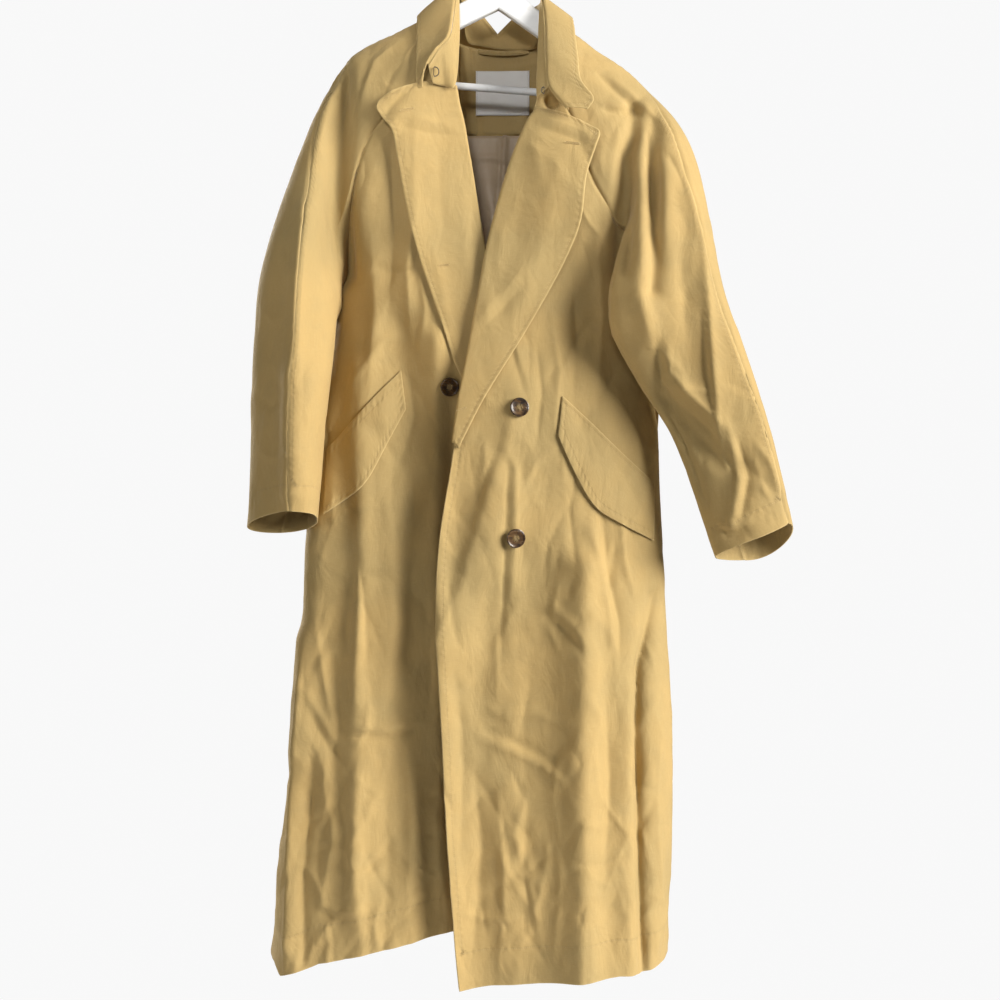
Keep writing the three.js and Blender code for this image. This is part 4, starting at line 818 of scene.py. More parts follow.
def cotton(name, base, olive):
    """Garment cotton: a fine twill, slubs, crumples, rows of stitches with painted shade in their sunk
    grooves, and edges worn pale.
    """
    finish = Finish(name, base, 0.82, Sheen_Weight=0.18, Sheen_Roughness=0.4,
                    Sheen_Tint=(1.0, 0.9, 0.7, 1), Specular_IOR_Level=0.3)
    place = finish.place()
    patches = finish.noise(place, 5.5, 3.0, 0.55)
    mottle = finish.noise(place, 38.0, 3.0, 0.6)
    slub_across = finish.noise(finish.flat(90, 1500), 1.0, 2.0)
    slub_down = finish.noise(finish.flat(1500, 70), 1.0, 2.0)
    colour = finish.mix(patches.below(0.47, 0.16) * 0.6, base, olive)
    colour = finish.mix(mottle.below(0.44, 0.12) * 0.16, colour, olive)
    threads = (slub_across + slub_down).below(0.9, 0.1)
    colour = finish.mix(threads * 0.13, colour, COTTON_PALE)
    past, run, edge = finish.sewing()
    off = abs(past)
    stitch = off.below(0.42, 0.16) * abs((run / 2.7).fraction() - 0.5).below(0.37, 0.05)
    # the stitching groove's mask: it sinks the relief and carries painted shade into the colour
    groove_and_shade = off.below(0.9, 0.5)
    ripple = (off / 4.5).below(0.6, 0.5) * (run + 3 * mottle).wave(8.5)
    # painted shade: the cloth is darkened along the stitching groove, where shade falls in the dent
    colour = finish.mix(groove_and_shade * 0.22, colour, GROOVE_SHADE)
    colour = finish.mix(stitch * 0.4, colour, THREAD)
    colour = finish.mix(edge.below(1.1, 0.9) * 0.45, colour, COTTON_PALE)
    # relief: twill, slubs, small pressed creases, stitches
    u, v, _ = finish.parts(finish.flat(1000, 1000))
    twill = (u + 0.55 * v).wave(0.95) * 0.5 + (v - 0.2 * u).wave(0.6) * 0.3
    weave = twill + 1.6 * (slub_across + slub_down)
    streaks = finish.noise(finish.stretched(place, 30.0, 30.0, 17.0), 1.0, 3.5, 0.55, 0.5)
    calm = finish.noise(place, 7.0, 1.0).below(0.46, 0.1)
    creases = streaks - finish.cells(place, 27.0).below(0.0, 0.12) * calm * 0.12
    relief = finish.bump(creases, 0.007, 0.4)
    relief = finish.bump(weave, 0.00012, 0.5, relief)
    relief = finish.bump(stitch * 1.1 - groove_and_shade * 0.8 + ripple * 0.7, 0.0003, 0.7, relief)
    return finish.done(colour, 0.74 + 0.2 * mottle, relief)


def satin():
    """Lining: a lustrous taupe satin weave, with painted sheen and shade in soft bands down it."""
    finish = Finish("lining_satin", (0.46, 0.35, 0.225), 0.5, Sheen_Weight=0.1,
                    Specular_IOR_Level=0.6, Anisotropic=0.3)
    place = finish.place()
    band = finish.noise(finish.flat(26, 3), 1.0, 3.0)
    thread = finish.noise(finish.flat(2200, 120), 1.0, 2.0)
    # painted sheen and shade: the colour runs lighter and darker in long streaks, standing in for the
    # satin's lustre over its drapes
    colour = finish.mix(band.below(0.5, 0.2) * 0.7, (0.53, 0.40, 0.26), (0.37, 0.275, 0.175))
    colour = finish.mix(thread.below(0.45, 0.1) * 0.12, colour, (0.66, 0.55, 0.42))
    crushed = finish.bump(finish.noise(place, 34.0, 2.0, 0.5, 0.8), 0.004, 0.7)
    return finish.done(colour, 0.42 + 0.2 * band, finish.bump(thread, 0.0001, 0.4, crushed))


def label_cloth():
    finish = Finish("label_taffeta", (0.86, 0.85, 0.83), 0.5, Sheen_Weight=0.15)
    u, v, _ = finish.parts(finish.flat(1000, 1000))
    weave = u.wave(0.5) * 0.5 + v.wave(0.62) * 0.5
    soil = finish.noise(finish.place(), 45.0, 3.0)
    past, run, edge = finish.sewing()
    stitch = abs(past).below(0.35, 0.15) * abs((run / 2.6).fraction() - 0.5).below(0.36, 0.06)
    colour = finish.mix(soil.below(0.45, 0.15) * 0.25, (0.88, 0.87, 0.85), (0.74, 0.73, 0.71))
    colour = finish.mix(stitch * 0.6, colour, (0.62, 0.6, 0.56))
    colour = finish.mix(edge.below(0.8, 0.5) * 0.3, colour, (0.7, 0.69, 0.66))
    return finish.done(colour, relief=finish.bump(weave + stitch * 3, 0.0001, 0.6))


def painted_wood():
    """The hanger: white satin lacquer over close-grained wood, flecked with dust."""
    finish = Finish("white_lacquer", (0.83, 0.84, 0.85), 0.32, Coat_Weight=0.25, Coat_Roughness=0.2)
    place = finish.place()
    grain = finish.noise(finish.stretched(place, 6.0, 60.0, 190.0), 1.0, 4.0)
    dust = finish.noise(place, 60.0, 4.0, 0.7)
    colour = finish.mix(grain.below(0.46, 0.12) * 0.22, (0.86, 0.87, 0.88), (0.74, 0.75, 0.76))
    colour = finish.mix(dust.below(0.37, 0.06) * 0.3, colour, (0.62, 0.61, 0.58))
    return finish.done(colour, 0.28 + 0.2 * dust, finish.bump(grain, 0.0003, 0.35))


def chrome():
    finish = Finish("hook_steel", (0.62, 0.62, 0.6), 0.24, Metallic=1.0)
    place = finish.place()
    worn = finish.noise(place, 240.0, 3.0, 0.6)
    drawn = finish.noise(finish.stretched(place, 900.0, 900.0, 40.0), 1.0)
    colour = finish.mix(worn.below(0.42, 0.1) * 0.5, (0.66, 0.66, 0.65), (0.42, 0.40, 0.37))
    return finish.done(colour, 0.16 + 0.3 * worn, finish.bump(drawn, 0.00008, 0.4))


def dark_wire():
    finish = Finish("eye_enamel", (0.035, 0.03, 0.025), 0.38)
    chips = finish.noise(finish.place(), 900.0, 3.0)
    colour = finish.mix(chips.below(0.4, 0.05) * 0.7, (0.03, 0.026, 0.022), (0.3, 0.27, 0.22))
    return finish.done(colour, 0.3 + 0.3 * chips)


def horn():
    """Button: dark mottled horn, clouded and paler towards the middle, under a polish."""
    finish = Finish("button_horn", (0.06, 0.035, 0.02), 0.22, Coat_Weight=0.5, Coat_Roughness=0.08)
    u, v, _ = finish.parts(finish.node("UVMap", {"uv_map": "Face"}))
    out = (u * u + v * v) ** 0.5
    place = finish.place()
    cloud = finish.noise(place, 130.0, 3.0, 0.6, 1.2)
    streak = finish.noise(finish.stretched(place, 60.0, 60.0, 420.0), 1.0, 3.0, 0.6, 0.8)
    colour = finish.mix(cloud.below(0.5, 0.14), (0.022, 0.013, 0.009), (0.10, 0.055, 0.025))
    colour = finish.mix(streak.below(0.42, 0.08) * 0.7, colour, (0.17, 0.10, 0.045))
    middle = out.below(0.34, 0.14) * cloud.below(0.66, 0.25)
    colour = finish.mix(middle * 0.7, colour, (0.30, 0.22, 0.11))
    return finish.done(colour, 0.16 + 0.22 * cloud, finish.bump(streak, 0.0002, 0.25))


def thread_finish():
    finish = Finish("sewing_thread", THREAD, 0.7, Sheen_Weight=0.3)
    twist = finish.noise(finish.stretched(finish.place(), 900.0, 900.0, 2600.0), 1.0)
    colour = finish.mix(twist.below(0.5, 0.12), THREAD, (0.5, 0.36, 0.15))
    return finish.done(colour, relief=finish.bump(twist, 0.0002, 0.6))


def backdrop_finish():
    """A plain white surround, which the camera alone sees."""
    return Finish("studio_white", (0, 0, 0), 1.0, Emission_Color=(1, 1, 1, 1),
                  Emission_Strength=0.94).material


def stage_finish():
    finish = Finish("studio_floor", (0.93, 0.93, 0.93), 0.9)
    grit = finish.noise(finish.place(), 6.0, 3.0)
    return finish.done(finish.mix(grit * 0.3, (0.94, 0.94, 0.94), (0.91, 0.91, 0.91)))


COTTON_CLOTH = cotton("cotton_twill", (0.47, 0.325, 0.13), (0.355, 0.265, 0.115))
COTTON_INSIDE = cotton("cotton_twill_inside", (0.46, 0.325, 0.135), (0.39, 0.29, 0.125))
SATIN = satin()
TAFFETA = label_cloth()
LACQUER = painted_wood()
CHROME = chrome()
ENAMEL = dark_wire()
HORN = horn()
YARN = thread_finish()


# ---- the coat's body and sleeves ----
# A piece's form, whether its columns are reversed so that its cells face outwards, its cut (width,
# length and area in metres), its borders (the kind of edge and how far in it is topstitched, where 0
# is bare) and its own folds.
HEM, CUFF, EDGE = ("turned", 46), ("turned", 34), ("turned", 9.0)
BARE, OVERARM = ("seam", 0), ("seam", 5.5)
PIECES = rows_of(
    "name form flip cut seams own",
    ("right_front", front_grid(RIGHT_FRONT, RIGHT_RAGLAN, RIGHT_SIDE), False, (0.45, 1.21, 0.38),
     dict(start=BARE, end=EDGE, low=HEM), RECESS),
    ("left_front", front_grid(LEFT_FRONT, LEFT_RAGLAN, LEFT_SIDE), True, (0.39, 1.22, 0.35),
     dict(end=BARE, start=EDGE, low=HEM)),
    ("back", back_grid(), True, (0.62, 1.24, 0.59), dict(start=BARE, end=BARE, low=HEM)),
    ("right_sleeve_front", sleeve_grid(RIGHT_SLEEVE, RIGHT_RAGLAN, "front"), False,
     (0.18, 0.76, 0.09), dict(start=OVERARM, end=BARE, low=CUFF)),
    ("right_sleeve_back", sleeve_grid(RIGHT_SLEEVE, RIGHT_RAGLAN, "back"), True,
     (0.26, 0.81, 0.137), dict(end=BARE, start=BARE, low=CUFF)),
    ("left_sleeve_front", sleeve_grid(LEFT_SLEEVE, LEFT_RAGLAN, "front"), True,
     (0.28, 0.80, 0.135), dict(end=OVERARM, start=BARE, low=CUFF)),
    ("left_sleeve_back", sleeve_grid(LEFT_SLEEVE, LEFT_RAGLAN, "back"), False,
     (0.22, 0.82, 0.118), dict(start=BARE, end=BARE, low=CUFF)))
# Creases strewn over the skirt, the chest, both sleeves and the hem in front, then over the back and
# its sleeves: a seed, a count, a box of x and z, then ranges of length, half width and height, and lean.
CREASES_FRONT = [crease for row in (
    (11, 150, (-300, 225, -1390, -560), (30, 150), (3.5, 8), (0.8, 2.2), 0.1),
    (12, 50, (-250, 170, -560, -180), (30, 120), (4, 8), (0.5, 1.4), 0.15),
    (13, 26, (-330, -240, -790, -330), (30, 110), (5, 10), (0.4, 1.2), 0.1),
    (14, 30, (180, 350, -830, -280), (40, 130), (3.5, 7), (0.5, 1.3), -0.45),
    (15, 60, (-300, 225, -1390, -1150), (24, 90), (3.5, 7), (0.8, 2.0), 0.7))
    for crease in loose_creases(*row)]
CREASES_BACK = [crease for row in (
    (21, 140, (-320, 225, -1390, -300), (40, 190), (5, 12), (1.0, 2.6), 0.05),
    (22, 46, (-350, -230, -790, -250), (40, 140), (5, 11), (0.8, 2.4), 0.3),
    (23, 46, (190, 350, -830, -250), (40, 140), (5, 11), (0.8, 2.4), -0.4))
    for crease in loose_creases(*row)]
FOLD_GAIN = 1.25          # how much higher than stated the largest front folds stand
DETAIL_GAIN = 1.5         # and the smaller folds and creases

# Places where the hem is drawn down to a point: its x, reach each way and depth.
HEM_POINTS = rows_of("x before after depth", (-284, 16, 44, 13), (176, 30, 34, 5), (-60, 10, 40, 3))
HEM_RISE = dict(from_z=1220, over=150, from_y=5, within=20)   # where the drawing down fades in


def pointed(points):
    """Draws the front of the hem down at its pressed folds, fading out upwards."""
    x, y, z = np.moveaxis(points, -1, 0)
    low = np.clip((-z - HEM_RISE["from_z"]) / HEM_RISE["over"], 0, 1) ** 2
    low = low * np.clip((-y - HEM_RISE["from_y"]) / HEM_RISE["within"], 0, 1)
    drop = 0 * x
    for row in HEM_POINTS:
        away = np.where(x < row["x"], (row["x"] - x) / row["before"], (x - row["x"]) / row["after"])
        drop = drop + row["depth"] * np.clip(1 - away, 0, 1)
    return np.stack([x, y, z - drop * low], axis=-1)


def raised(points, normals, height):
    return points + normals * height[..., None]


def formed_grids():
    """Gives every piece its points, normals and border ways, from the coat as one continuous form."""
    grids = [pointed(row["form"][:, ::-1] if row["flip"] else row["form"]) for row in PIECES]
    grids = [raised(p, n, FOLD_GAIN * fold_sum(p, n, FRONT_FOLDS + row.get("own", []), True)
                    + fold_sum(p, n, BACK_FOLDS, False))
             for row, p, n in zip(PIECES, grids, shared_normals(grids))]
    grids = [raised(p, n, (fold_sum(p, n, FRONT_DETAIL + CREASES_FRONT, True)
                           + fold_sum(p, n, BACK_DETAIL + CREASES_BACK, False)) * DETAIL_GAIN + crumple(p))
             for p, n in zip(grids, shared_normals(grids))]
    for row, p, n in zip(PIECES, grids, shared_normals(grids)):
        row["ways"] = border_ways(p)
        row["points"] = raised(p, n, seam_relief(row["ways"], row["seams"], len(row["name"])))
    for row, n in zip(PIECES, shared_normals([row["points"] for row in PIECES])):
        row["normals"] = n


formed_grids()
for row in PIECES:
    lines = seam_lines(row["ways"], row["seams"])
    piece = cloth_mesh(row["name"] + "_cloth", row["points"], row["normals"], CLOTH, lines, COTTON_CLOTH)
    settle(piece, "cotton", row["name"])

formed = {row["name"]: row["points"] for row in PIECES}
front_trees = {side: tree_of(formed[side + "_front"], formed[side + "_sleeve_front"])
               for side in ("right", "left")}


def sewn_piece(name, node, points, seams, cut, rests_on, held="hung", slot="cotton",
               finish=COTTON_CLOTH, wall=FACED, rim=2.0):
    """A small piece with its seams worked into it. Its cut, width, length and area in metres, is not used.
    """
    ways = border_ways(points)
    relief = seam_relief(ways, seams, len(name)) * np.ones(points.shape[:2])
    points = raised(points, shared_normals([points])[0], relief)
    normals, lines = shared_normals([points])[0], seam_lines(ways, seams)
    piece = cloth_mesh(name, points, normals, wall, lines, finish, rim)
    settle(piece, slot, node)
    return points


def spread(start, end, t):
    """A grid of x and z between two lines of them."""
    return start[:, None] + (end - start)[:, None] * t[None, :, None]


# ---- lapels ----
LAID = CLOTH / 2 + FACED / 2 + CLEAR
ROLL_STEPS = 7            # columns round the turned roll line
LAPEL_ROWS = 150
LAPEL_COLUMNS = 34
LAPEL_FOLDS = dict(
    right=folds(
        (-2.2, 7, 1.2, -64, -292, -100, -290, -136, -284), (2.0, 9, 1.5, -60, -280, -100, -276, -140, -268),
        (2.4, 9, 1.4, -116, -250, -118, -360, -112, -460), (-2.2, 12, 1.6, -86, -262, -84, -380, -72, -500),
        (2.2, 12, 1.7, -56, -330, -50, -440, -32, -560), (-3.5, 9, 1.3, -132, -238, -150, -258, -158, -280),
        (1.6, 8, 1.4, -100, -420, -76, -520, -52, -600)),
    left=folds(
        (2.4, 9, 1.4, 44, -270, 84, -284, 108, -296), (-2.6, 8, 1.4, 40, -282, 80, -298, 106, -310),
        (3.0, 9, 1.3, 24, -470, -8, -506, -36, -536), (-2.6, 8, 1.3, 30, -484, 0, -518, -30, -550),
        (2.4, 14, 1.8, 70, -330, 50, -420, 20, -520), (-2.4, 14, 1.8, 30, -330, 14, -430, -10, -520),
        (2.0, 8, 1.4, 56, -480, 30, -560, -6, -640)))
LAPEL_EDGE = [0.958, 0.973, 0.988, 1]    # crowded columns at the free edge
LAPEL_FOOT = 0.9          # how far a lapel's roll stands off, and as much again at its free edge
GRIP = 0.45               # a fold takes at most this part of the room below it
ROLL_UNDER = 2.0          # how far past the roll line the front's edge is felt for
ROLL_FULLNESS = 1.15      # how much farther than half round the roll stands out


def bridged(values, rounds, slack):
    """A heavier cloth bridges the small creases below it, and never sinks far into them."""
    return np.minimum(smoothed(values, rounds), values + slack)


def lapel(side, table, bulge):
    """A lapel: it turns over at its roll line and lies on the front, its point a little raised."""
    outwards = -1 if side == "right" else 1
    at = np.linspace(0, len(table) - 1, LAPEL_ROWS + 1)
    roll, free = through(column(table, "roll"), at), through(column(table, "free"), at)
    lift = through(column(table, "lift")[:, None], at)
    t = np.concatenate([np.linspace(0, 0.94, LAPEL_COLUMNS - 4), LAPEL_EDGE])
    xz = spread(roll, free, t)
    xz[..., 1] += bulge * np.clip(1 - at, 0, 1)[:, None] * np.sin(np.pi * t)[None]
    cloth = depths(front_trees[side], xz, outwards)
    rise = LAID + LAPEL_FOOT * (1 + t[None]) + lift * (0.25 + 0.75 * t[None])
    points = np.stack([xz[..., 0], cloth, xz[..., 1]], axis=-1)
    forwards = np.broadcast_to([0.0, -1.0, 0.0], points.shape)
    creases = fold_sum(points, forwards, LAPEL_FOLDS[side], True)
    y = bridged(cloth, 10, 0.4) - rise - np.maximum(creases, -rise * GRIP)
    points[..., 1] = y
    # the roll: half a turn from the front's edge below to the lapel above
    under = depths(front_trees[side], xz[:, :1] + [[ROLL_UNDER * outwards, 0]], outwards)
    angles = np.linspace(-90, 90, ROLL_STEPS + 1)[:-1] * math.pi / 180
    middle, radius = (under + y[:, :1]) / 2, np.abs(under - y[:, :1]) / 2
    turn = np.stack([xz[:, :1, 0] - outwards * radius * ROLL_FULLNESS * np.cos(angles)[None],
                     middle - radius * np.sin(angles)[None],
                     xz[:, :1, 1] + 0 * angles[None]], axis=-1)
    return np.concatenate([turn, points], axis=1)


lapel_trees = {}
for side, rows, bulge, border, cut in (("right", RIGHT_LAPEL, 8, "start", (0.12, 0.52, 0.041)),
                                       ("left", LEFT_LAPEL, 4, "end", (0.12, 0.48, 0.037))):
    grid = lapel(side, rows, bulge)
    seams = {border: ("turned", 5.0), "top": ("turned", 5.0)}
    lapel_trees[side] = tree_of(sewn_piece(
        side + "_lapel_cloth", side + "_lapel", grid[:, ::-1] if side == "right" else grid,
        seams, cut, side + "_front_cloth", held="folded"))

# ---- pocket flaps ----
FLAP_ROWS, FLAP_COLUMNS = 90, 40
FLAP_STAND = dict(top=1.2, more_below=1.5, belly=1.6)     # how far a flap stands off the front


def flap(side, table):
    outwards = -1 if side == "right" else 1
    at = np.linspace(0, len(table) - 1, FLAP_ROWS + 1)
    top, low = through(column(table, "top"), at), through(column(table, "low"), at)
    t = crowded(FLAP_COLUMNS)
    xz = spread(top, low, t)
    rise = LAID + FLAP_STAND["top"] + FLAP_STAND["more_below"] * t[None]
    belly = FLAP_STAND["belly"] * np.sin(np.pi * t)[None] * np.sin(np.pi * at / at[-1])[:, None]
    y = bridged(depths(front_trees[side], xz, outwards), 14, 0.3) - rise - belly
    return np.stack([xz[..., 0], y, xz[..., 1]], axis=-1)


FLAP_SEAMS = dict(start=("turned", 9.0), end=("turned", 5.5), top=("turned", 5.5))
for side, rows, cut in (("right", RIGHT_FLAP, (0.10, 0.18, 0.0117)),
                        ("left", LEFT_FLAP, (0.09, 0.19, 0.0130))):
    grid = flap(side, rows)
    sewn_piece(side + "_flap_cloth", side + "_pocket_flap", grid[:, ::-1] if side == "left" else grid,
               FLAP_SEAMS, cut, side + "_front_cloth", held="folded")

# ---- collar ----
COLLAR_STEPS = 170
STAND_COLUMNS = 14
LEAF_COLUMNS = 30
NOTCH_ROW = 8             # where the crest dips to a point behind the neck
COLLAR_MIDDLE = np.array([-8, -2, -110])
TURN = [(0, 0), (0.2, 1.3), (1.0, 2.2)]      # out and up, where the leaf leaves the stand


def collar_places(span):
    ends = np.array([0, 0.02, 0.06, 0.12])
    return np.concatenate([ends, np.linspace(0.2, span - 0.2, COLLAR_STEPS - 7), span - ends[::-1]])


def collar_stand():
    rows = COLLAR[:STAND_ROWS]
    at = collar_places(len(rows) - 1)
    low, high = through(column(rows, "seam"), at), through(column(rows, "crest"), at, NOTCH_ROW)
    t = np.linspace(0, 1, STAND_COLUMNS + 1)[None, :, None]
    points = low[:, None] * (1 - t) + high[:, None] * t
    out = unit((points - COLLAR_MIDDLE) * [1, 1, 0])
    wave = 0.9 * np.sin(at * 2.3)[:, None] + 0.6 * np.sin(at * 4.1 + 1)[:, None]
    return points + out * (wave * np.sin(np.pi * t[..., 0]))[..., None]


def collar_leaf():
    at = collar_places(len(COLLAR) - 1)
    crest, fall = through(column(COLLAR, "crest"), at, NOTCH_ROW), through(column(COLLAR, "fall"), at)
    out = unit((crest - COLLAR_MIDDLE) * [1, 1, 0])
    up = np.array([0.0, 0.0, 1.0])
    turn = np.stack([crest + out * a + up * b for a, b in TURN], axis=1)
    t = np.concatenate([np.linspace(0, 0.95, LEAF_COLUMNS - 3), [0.97, 0.985, 1]])
    leaf = bow(crest + out * 2.4 + up * 2.4, out * 4 - up * 1, 0 * out + up * 3, fall, t)
    away = unit(leaf - COLLAR_MIDDLE)
    ripple = (1.3 * np.sin(at * 1.9 + 0.6) + 0.8 * np.sin(at * 3.7))[:, None] * np.sin(np.pi * t)[None]
    leaf = leaf + away * ripple[..., None] * [1, 1, 0]
    return np.concatenate([turn, leaf], axis=1)


TURNED = ("turned", 5.0)
sewn_piece("collar_stand_cloth", "collar_stand", collar_stand()[:, ::-1], dict(start=BARE),
           (0.53, 0.045, 0.0112), "hanger_board")
sewn_piece("collar_leaf_cloth", "collar_leaf", collar_leaf(), dict(end=TURNED, top=TURNED, low=TURNED),
           (0.58, 0.09, 0.0385), "collar_stand_cloth")

# ---- inside the back neck ----
inside_tree = tree_of(*[formed[name] for name in ("back", "right_sleeve_back", "left_sleeve_back")])


def inside_panel(panel, rows, columns, inset, shape):
    """A panel against the inside of the back, that far in, with a relief worked out from x and z."""
    x = np.linspace(panel["right"], panel["left"], columns + 1)
    down = np.linspace(0, 1, rows + 1)[:, None]
    top = panel["top"] + panel.get("rise", 0) * (x[None] / NECK_HALF) ** 2
    z = top + (panel["low"] - top) * down
    xz = np.stack([np.broadcast_to(x[None], z.shape), z], axis=-1)
    y = bridged(depths(inside_tree, xz, 0, True), 12, 0.3) - inset
    return np.stack([xz[..., 0], y - shape(xz[..., 0], xz[..., 1]), xz[..., 1]], axis=-1)


LINED = CLOTH / 2 + LINING / 2 + 2 * CLEAR
NECK_HALF = 55            # half the facing's width, where its top has its rise


def facing_shape(x, z):
    """Crushed folds beside the collar, and soft hollows."""
    return (2.6 * ridge(x + 55 + 0.1 * (z + 158), 5) - 2.2 * ridge(x + 46 + 0.12 * (z + 158), 4)
            + 0.5 * ridge(x + 30 + 0.5 * (z + 170), 5) + 1.6 * ridge(x - 40 - 0.2 * (z + 160), 6)
            + 0.9 * ridge(z + 172 - 0.1 * x, 4) + 0.8 * np.sin(x / 19) * np.sin(z / 23))


def lining_shape(x, z):
    """A centre pleat, drapes that slant towards it and soft crushed bands below the facing."""
    middle = x + 3 - 0.045 * (z + 266)
    pleat = 5.0 * ridge(middle - 3.2, 3.0) - 2.4 * ridge(middle + 2.5, 2.4)
    deep = np.clip((-290 - z) / 70, 0, 1)
    drapes = (2.6 * np.sin((x - 0.16 * (z + 300)) / 7.5 + 0.5 * np.sin(z / 37)) * deep
              + 1.5 * np.sin((x + 0.1 * (z + 300)) / 4.2 + 1.3) * deep * ridge(x + 30, 30))
    arch = z + 296 + 0.006 * (x + 24) ** 2
    bands = 1.8 * ridge(arch, 4) - 1.6 * ridge(arch + 10, 4.5) + 1.2 * ridge(arch + 24 - 0.2 * x, 5)
    return 1.4 + pleat + bands * ridge(x + 10, 42) + drapes + 0.7 * np.sin(x / 17 + 1) * np.sin(z / 21)


def label_shape(x, z):
    return 0.7 * np.sin(x / 16) + 0.5 * np.sin(z / 11) * np.sin(x / 22)


FACING_CELLS, LINING_CELLS, LABEL_CELLS = (60, 60), (104, 104), (30, 36)
LINING_STAND, LABEL_STAND = 3.2, 1.9     # room for the lining's drapes and under the label
INNER = dict(wall=LINING, rim=0.8)
sewn_piece("back_neck_facing_cloth", "back_neck_facing",
           inside_panel(FACING, *FACING_CELLS, LINED, facing_shape), dict(low=BARE),
           (0.112, 0.118, 0.0129), "back_cloth", finish=COTTON_INSIDE, **INNER)
sewn_piece("back_lining_cloth", "back_lining",
           inside_panel(LINING_PANEL, *LINING_CELLS, LINED + LINING_STAND, lining_shape), dict(top=BARE),
           (0.31, 0.30, 0.090), "back_cloth", slot="lining", finish=SATIN, **INNER)
sewn_piece("neck_label_cloth", "neck_label",
           inside_panel(LABEL, *LABEL_CELLS, LINED + LINING + CLEAR + LABEL_STAND, label_shape),
           dict(start=("turned", 2.0), end=("turned", 2.0)), (0.074, 0.061, 0.0045),
           "back_neck_facing_cloth", slot="label", finish=TAFFETA, **INNER)
LOOP_STEPS, LOOP_COLUMNS = 60, 6


def loop_points():
    """The hanging loop: a narrow band that stands off the facing and sags between its ends."""
    points = []
    for t in np.linspace(0, 1, LOOP_STEPS + 1):
        x = LOOP["right"] + (LOOP["left"] - LOOP["right"]) * t
        for k in range(LOOP_COLUMNS + 1):
            part = k / LOOP_COLUMNS
            z = LOOP["height"] - LOOP["sag"] * math.sin(math.pi * t) - LOOP["width"] * part
            y = depth_at(inside_tree, x, min(z, LOOP["below_seam"]), True)[0] - LINED - LINING - CLEAR
            off = LOOP["belly"] * math.sin(math.pi * t) + LOOP["round"] * math.sin(math.pi * part)
            points.append([x, y - LOOP["stand"] - off, z])
    return np.array(points).reshape(LOOP_STEPS + 1, LOOP_COLUMNS + 1, 3)


sewn_piece("hanging_loop_cloth", "hanging_loop", loop_points()[:, ::-1],
           dict(start=("turned", 1.4), end=("turned", 1.4)), (0.078, 0.014, 0.0006),
           "back_neck_facing_cloth", finish=COTTON_INSIDE, **INNER)


# ---- hard pieces ----
DOUBLES = 0.02 * MM       # corners nearer than this are one


def clear_selection():
    bpy.ops.object.select_all(action="DESELECT")


def added(name, finish):
    """Names the primitive that was just added and gives it its finish."""
    piece = bpy.context.active_object
    piece.name = piece.data.name = name
    piece.data.materials.append(finish)
    return piece


def pick(piece, test=lambda normal: True):
    """Selects a piece's faces by a test of their normal, and opens it for editing."""
    bpy.ops.object.mode_set(mode="OBJECT")
    for part in (*piece.data.vertices, *piece.data.edges):
        part.select = False
    for face in piece.data.polygons:
        face.select = bool(test(face.normal))
    bpy.ops.object.mode_set(mode="EDIT")
    bpy.ops.mesh.select_mode(type="FACE")


def select_only(piece):
    clear_selection()
    piece.select_set(True)
    bpy.context.view_layer.objects.active = piece


def closed_up(piece, angle=40):
    """Merges a piece's doubles, turns its faces outwards and puts its place into its mesh."""
    bpy.ops.object.mode_set(mode="EDIT")
    bpy.ops.mesh.select_all(action="SELECT")
    bpy.ops.mesh.remove_doubles(threshold=DOUBLES)
    bpy.ops.mesh.normals_make_consistent(inside=False)
    bpy.ops.object.mode_set(mode="OBJECT")
    select_only(piece)
    bpy.ops.object.transform_apply(location=True, rotation=True, scale=True)
    bpy.ops.object.shade_smooth_by_angle(angle=math.radians(angle))
    return piece


def apply_modifier(piece, kind, **settings):
    select_only(piece)
    modifier = piece.modifiers.new(kind.title(), kind)
    for name, value in settings.items():
        setattr(modifier, name, value)
    bpy.ops.object.modifier_apply(modifier=modifier.name)


SEAT = 6                  # how far round its middle a piece feels for the cloth
BUTTON = dict(radius=12.5, depth=3.6, rim=2.3, dish=1.0, hole=1.15, spread=2.5)
STRAND = dict(radius=0.42, apart=0.45, rise=0.25, dive=1.2)
SHANK = dict(radius=1.9, length=2.4, low=-0.2)
BUTTON_STAND, HOLE_STAND = 1.2, 0.1      # how far off the cloth a button and a buttonhole lie


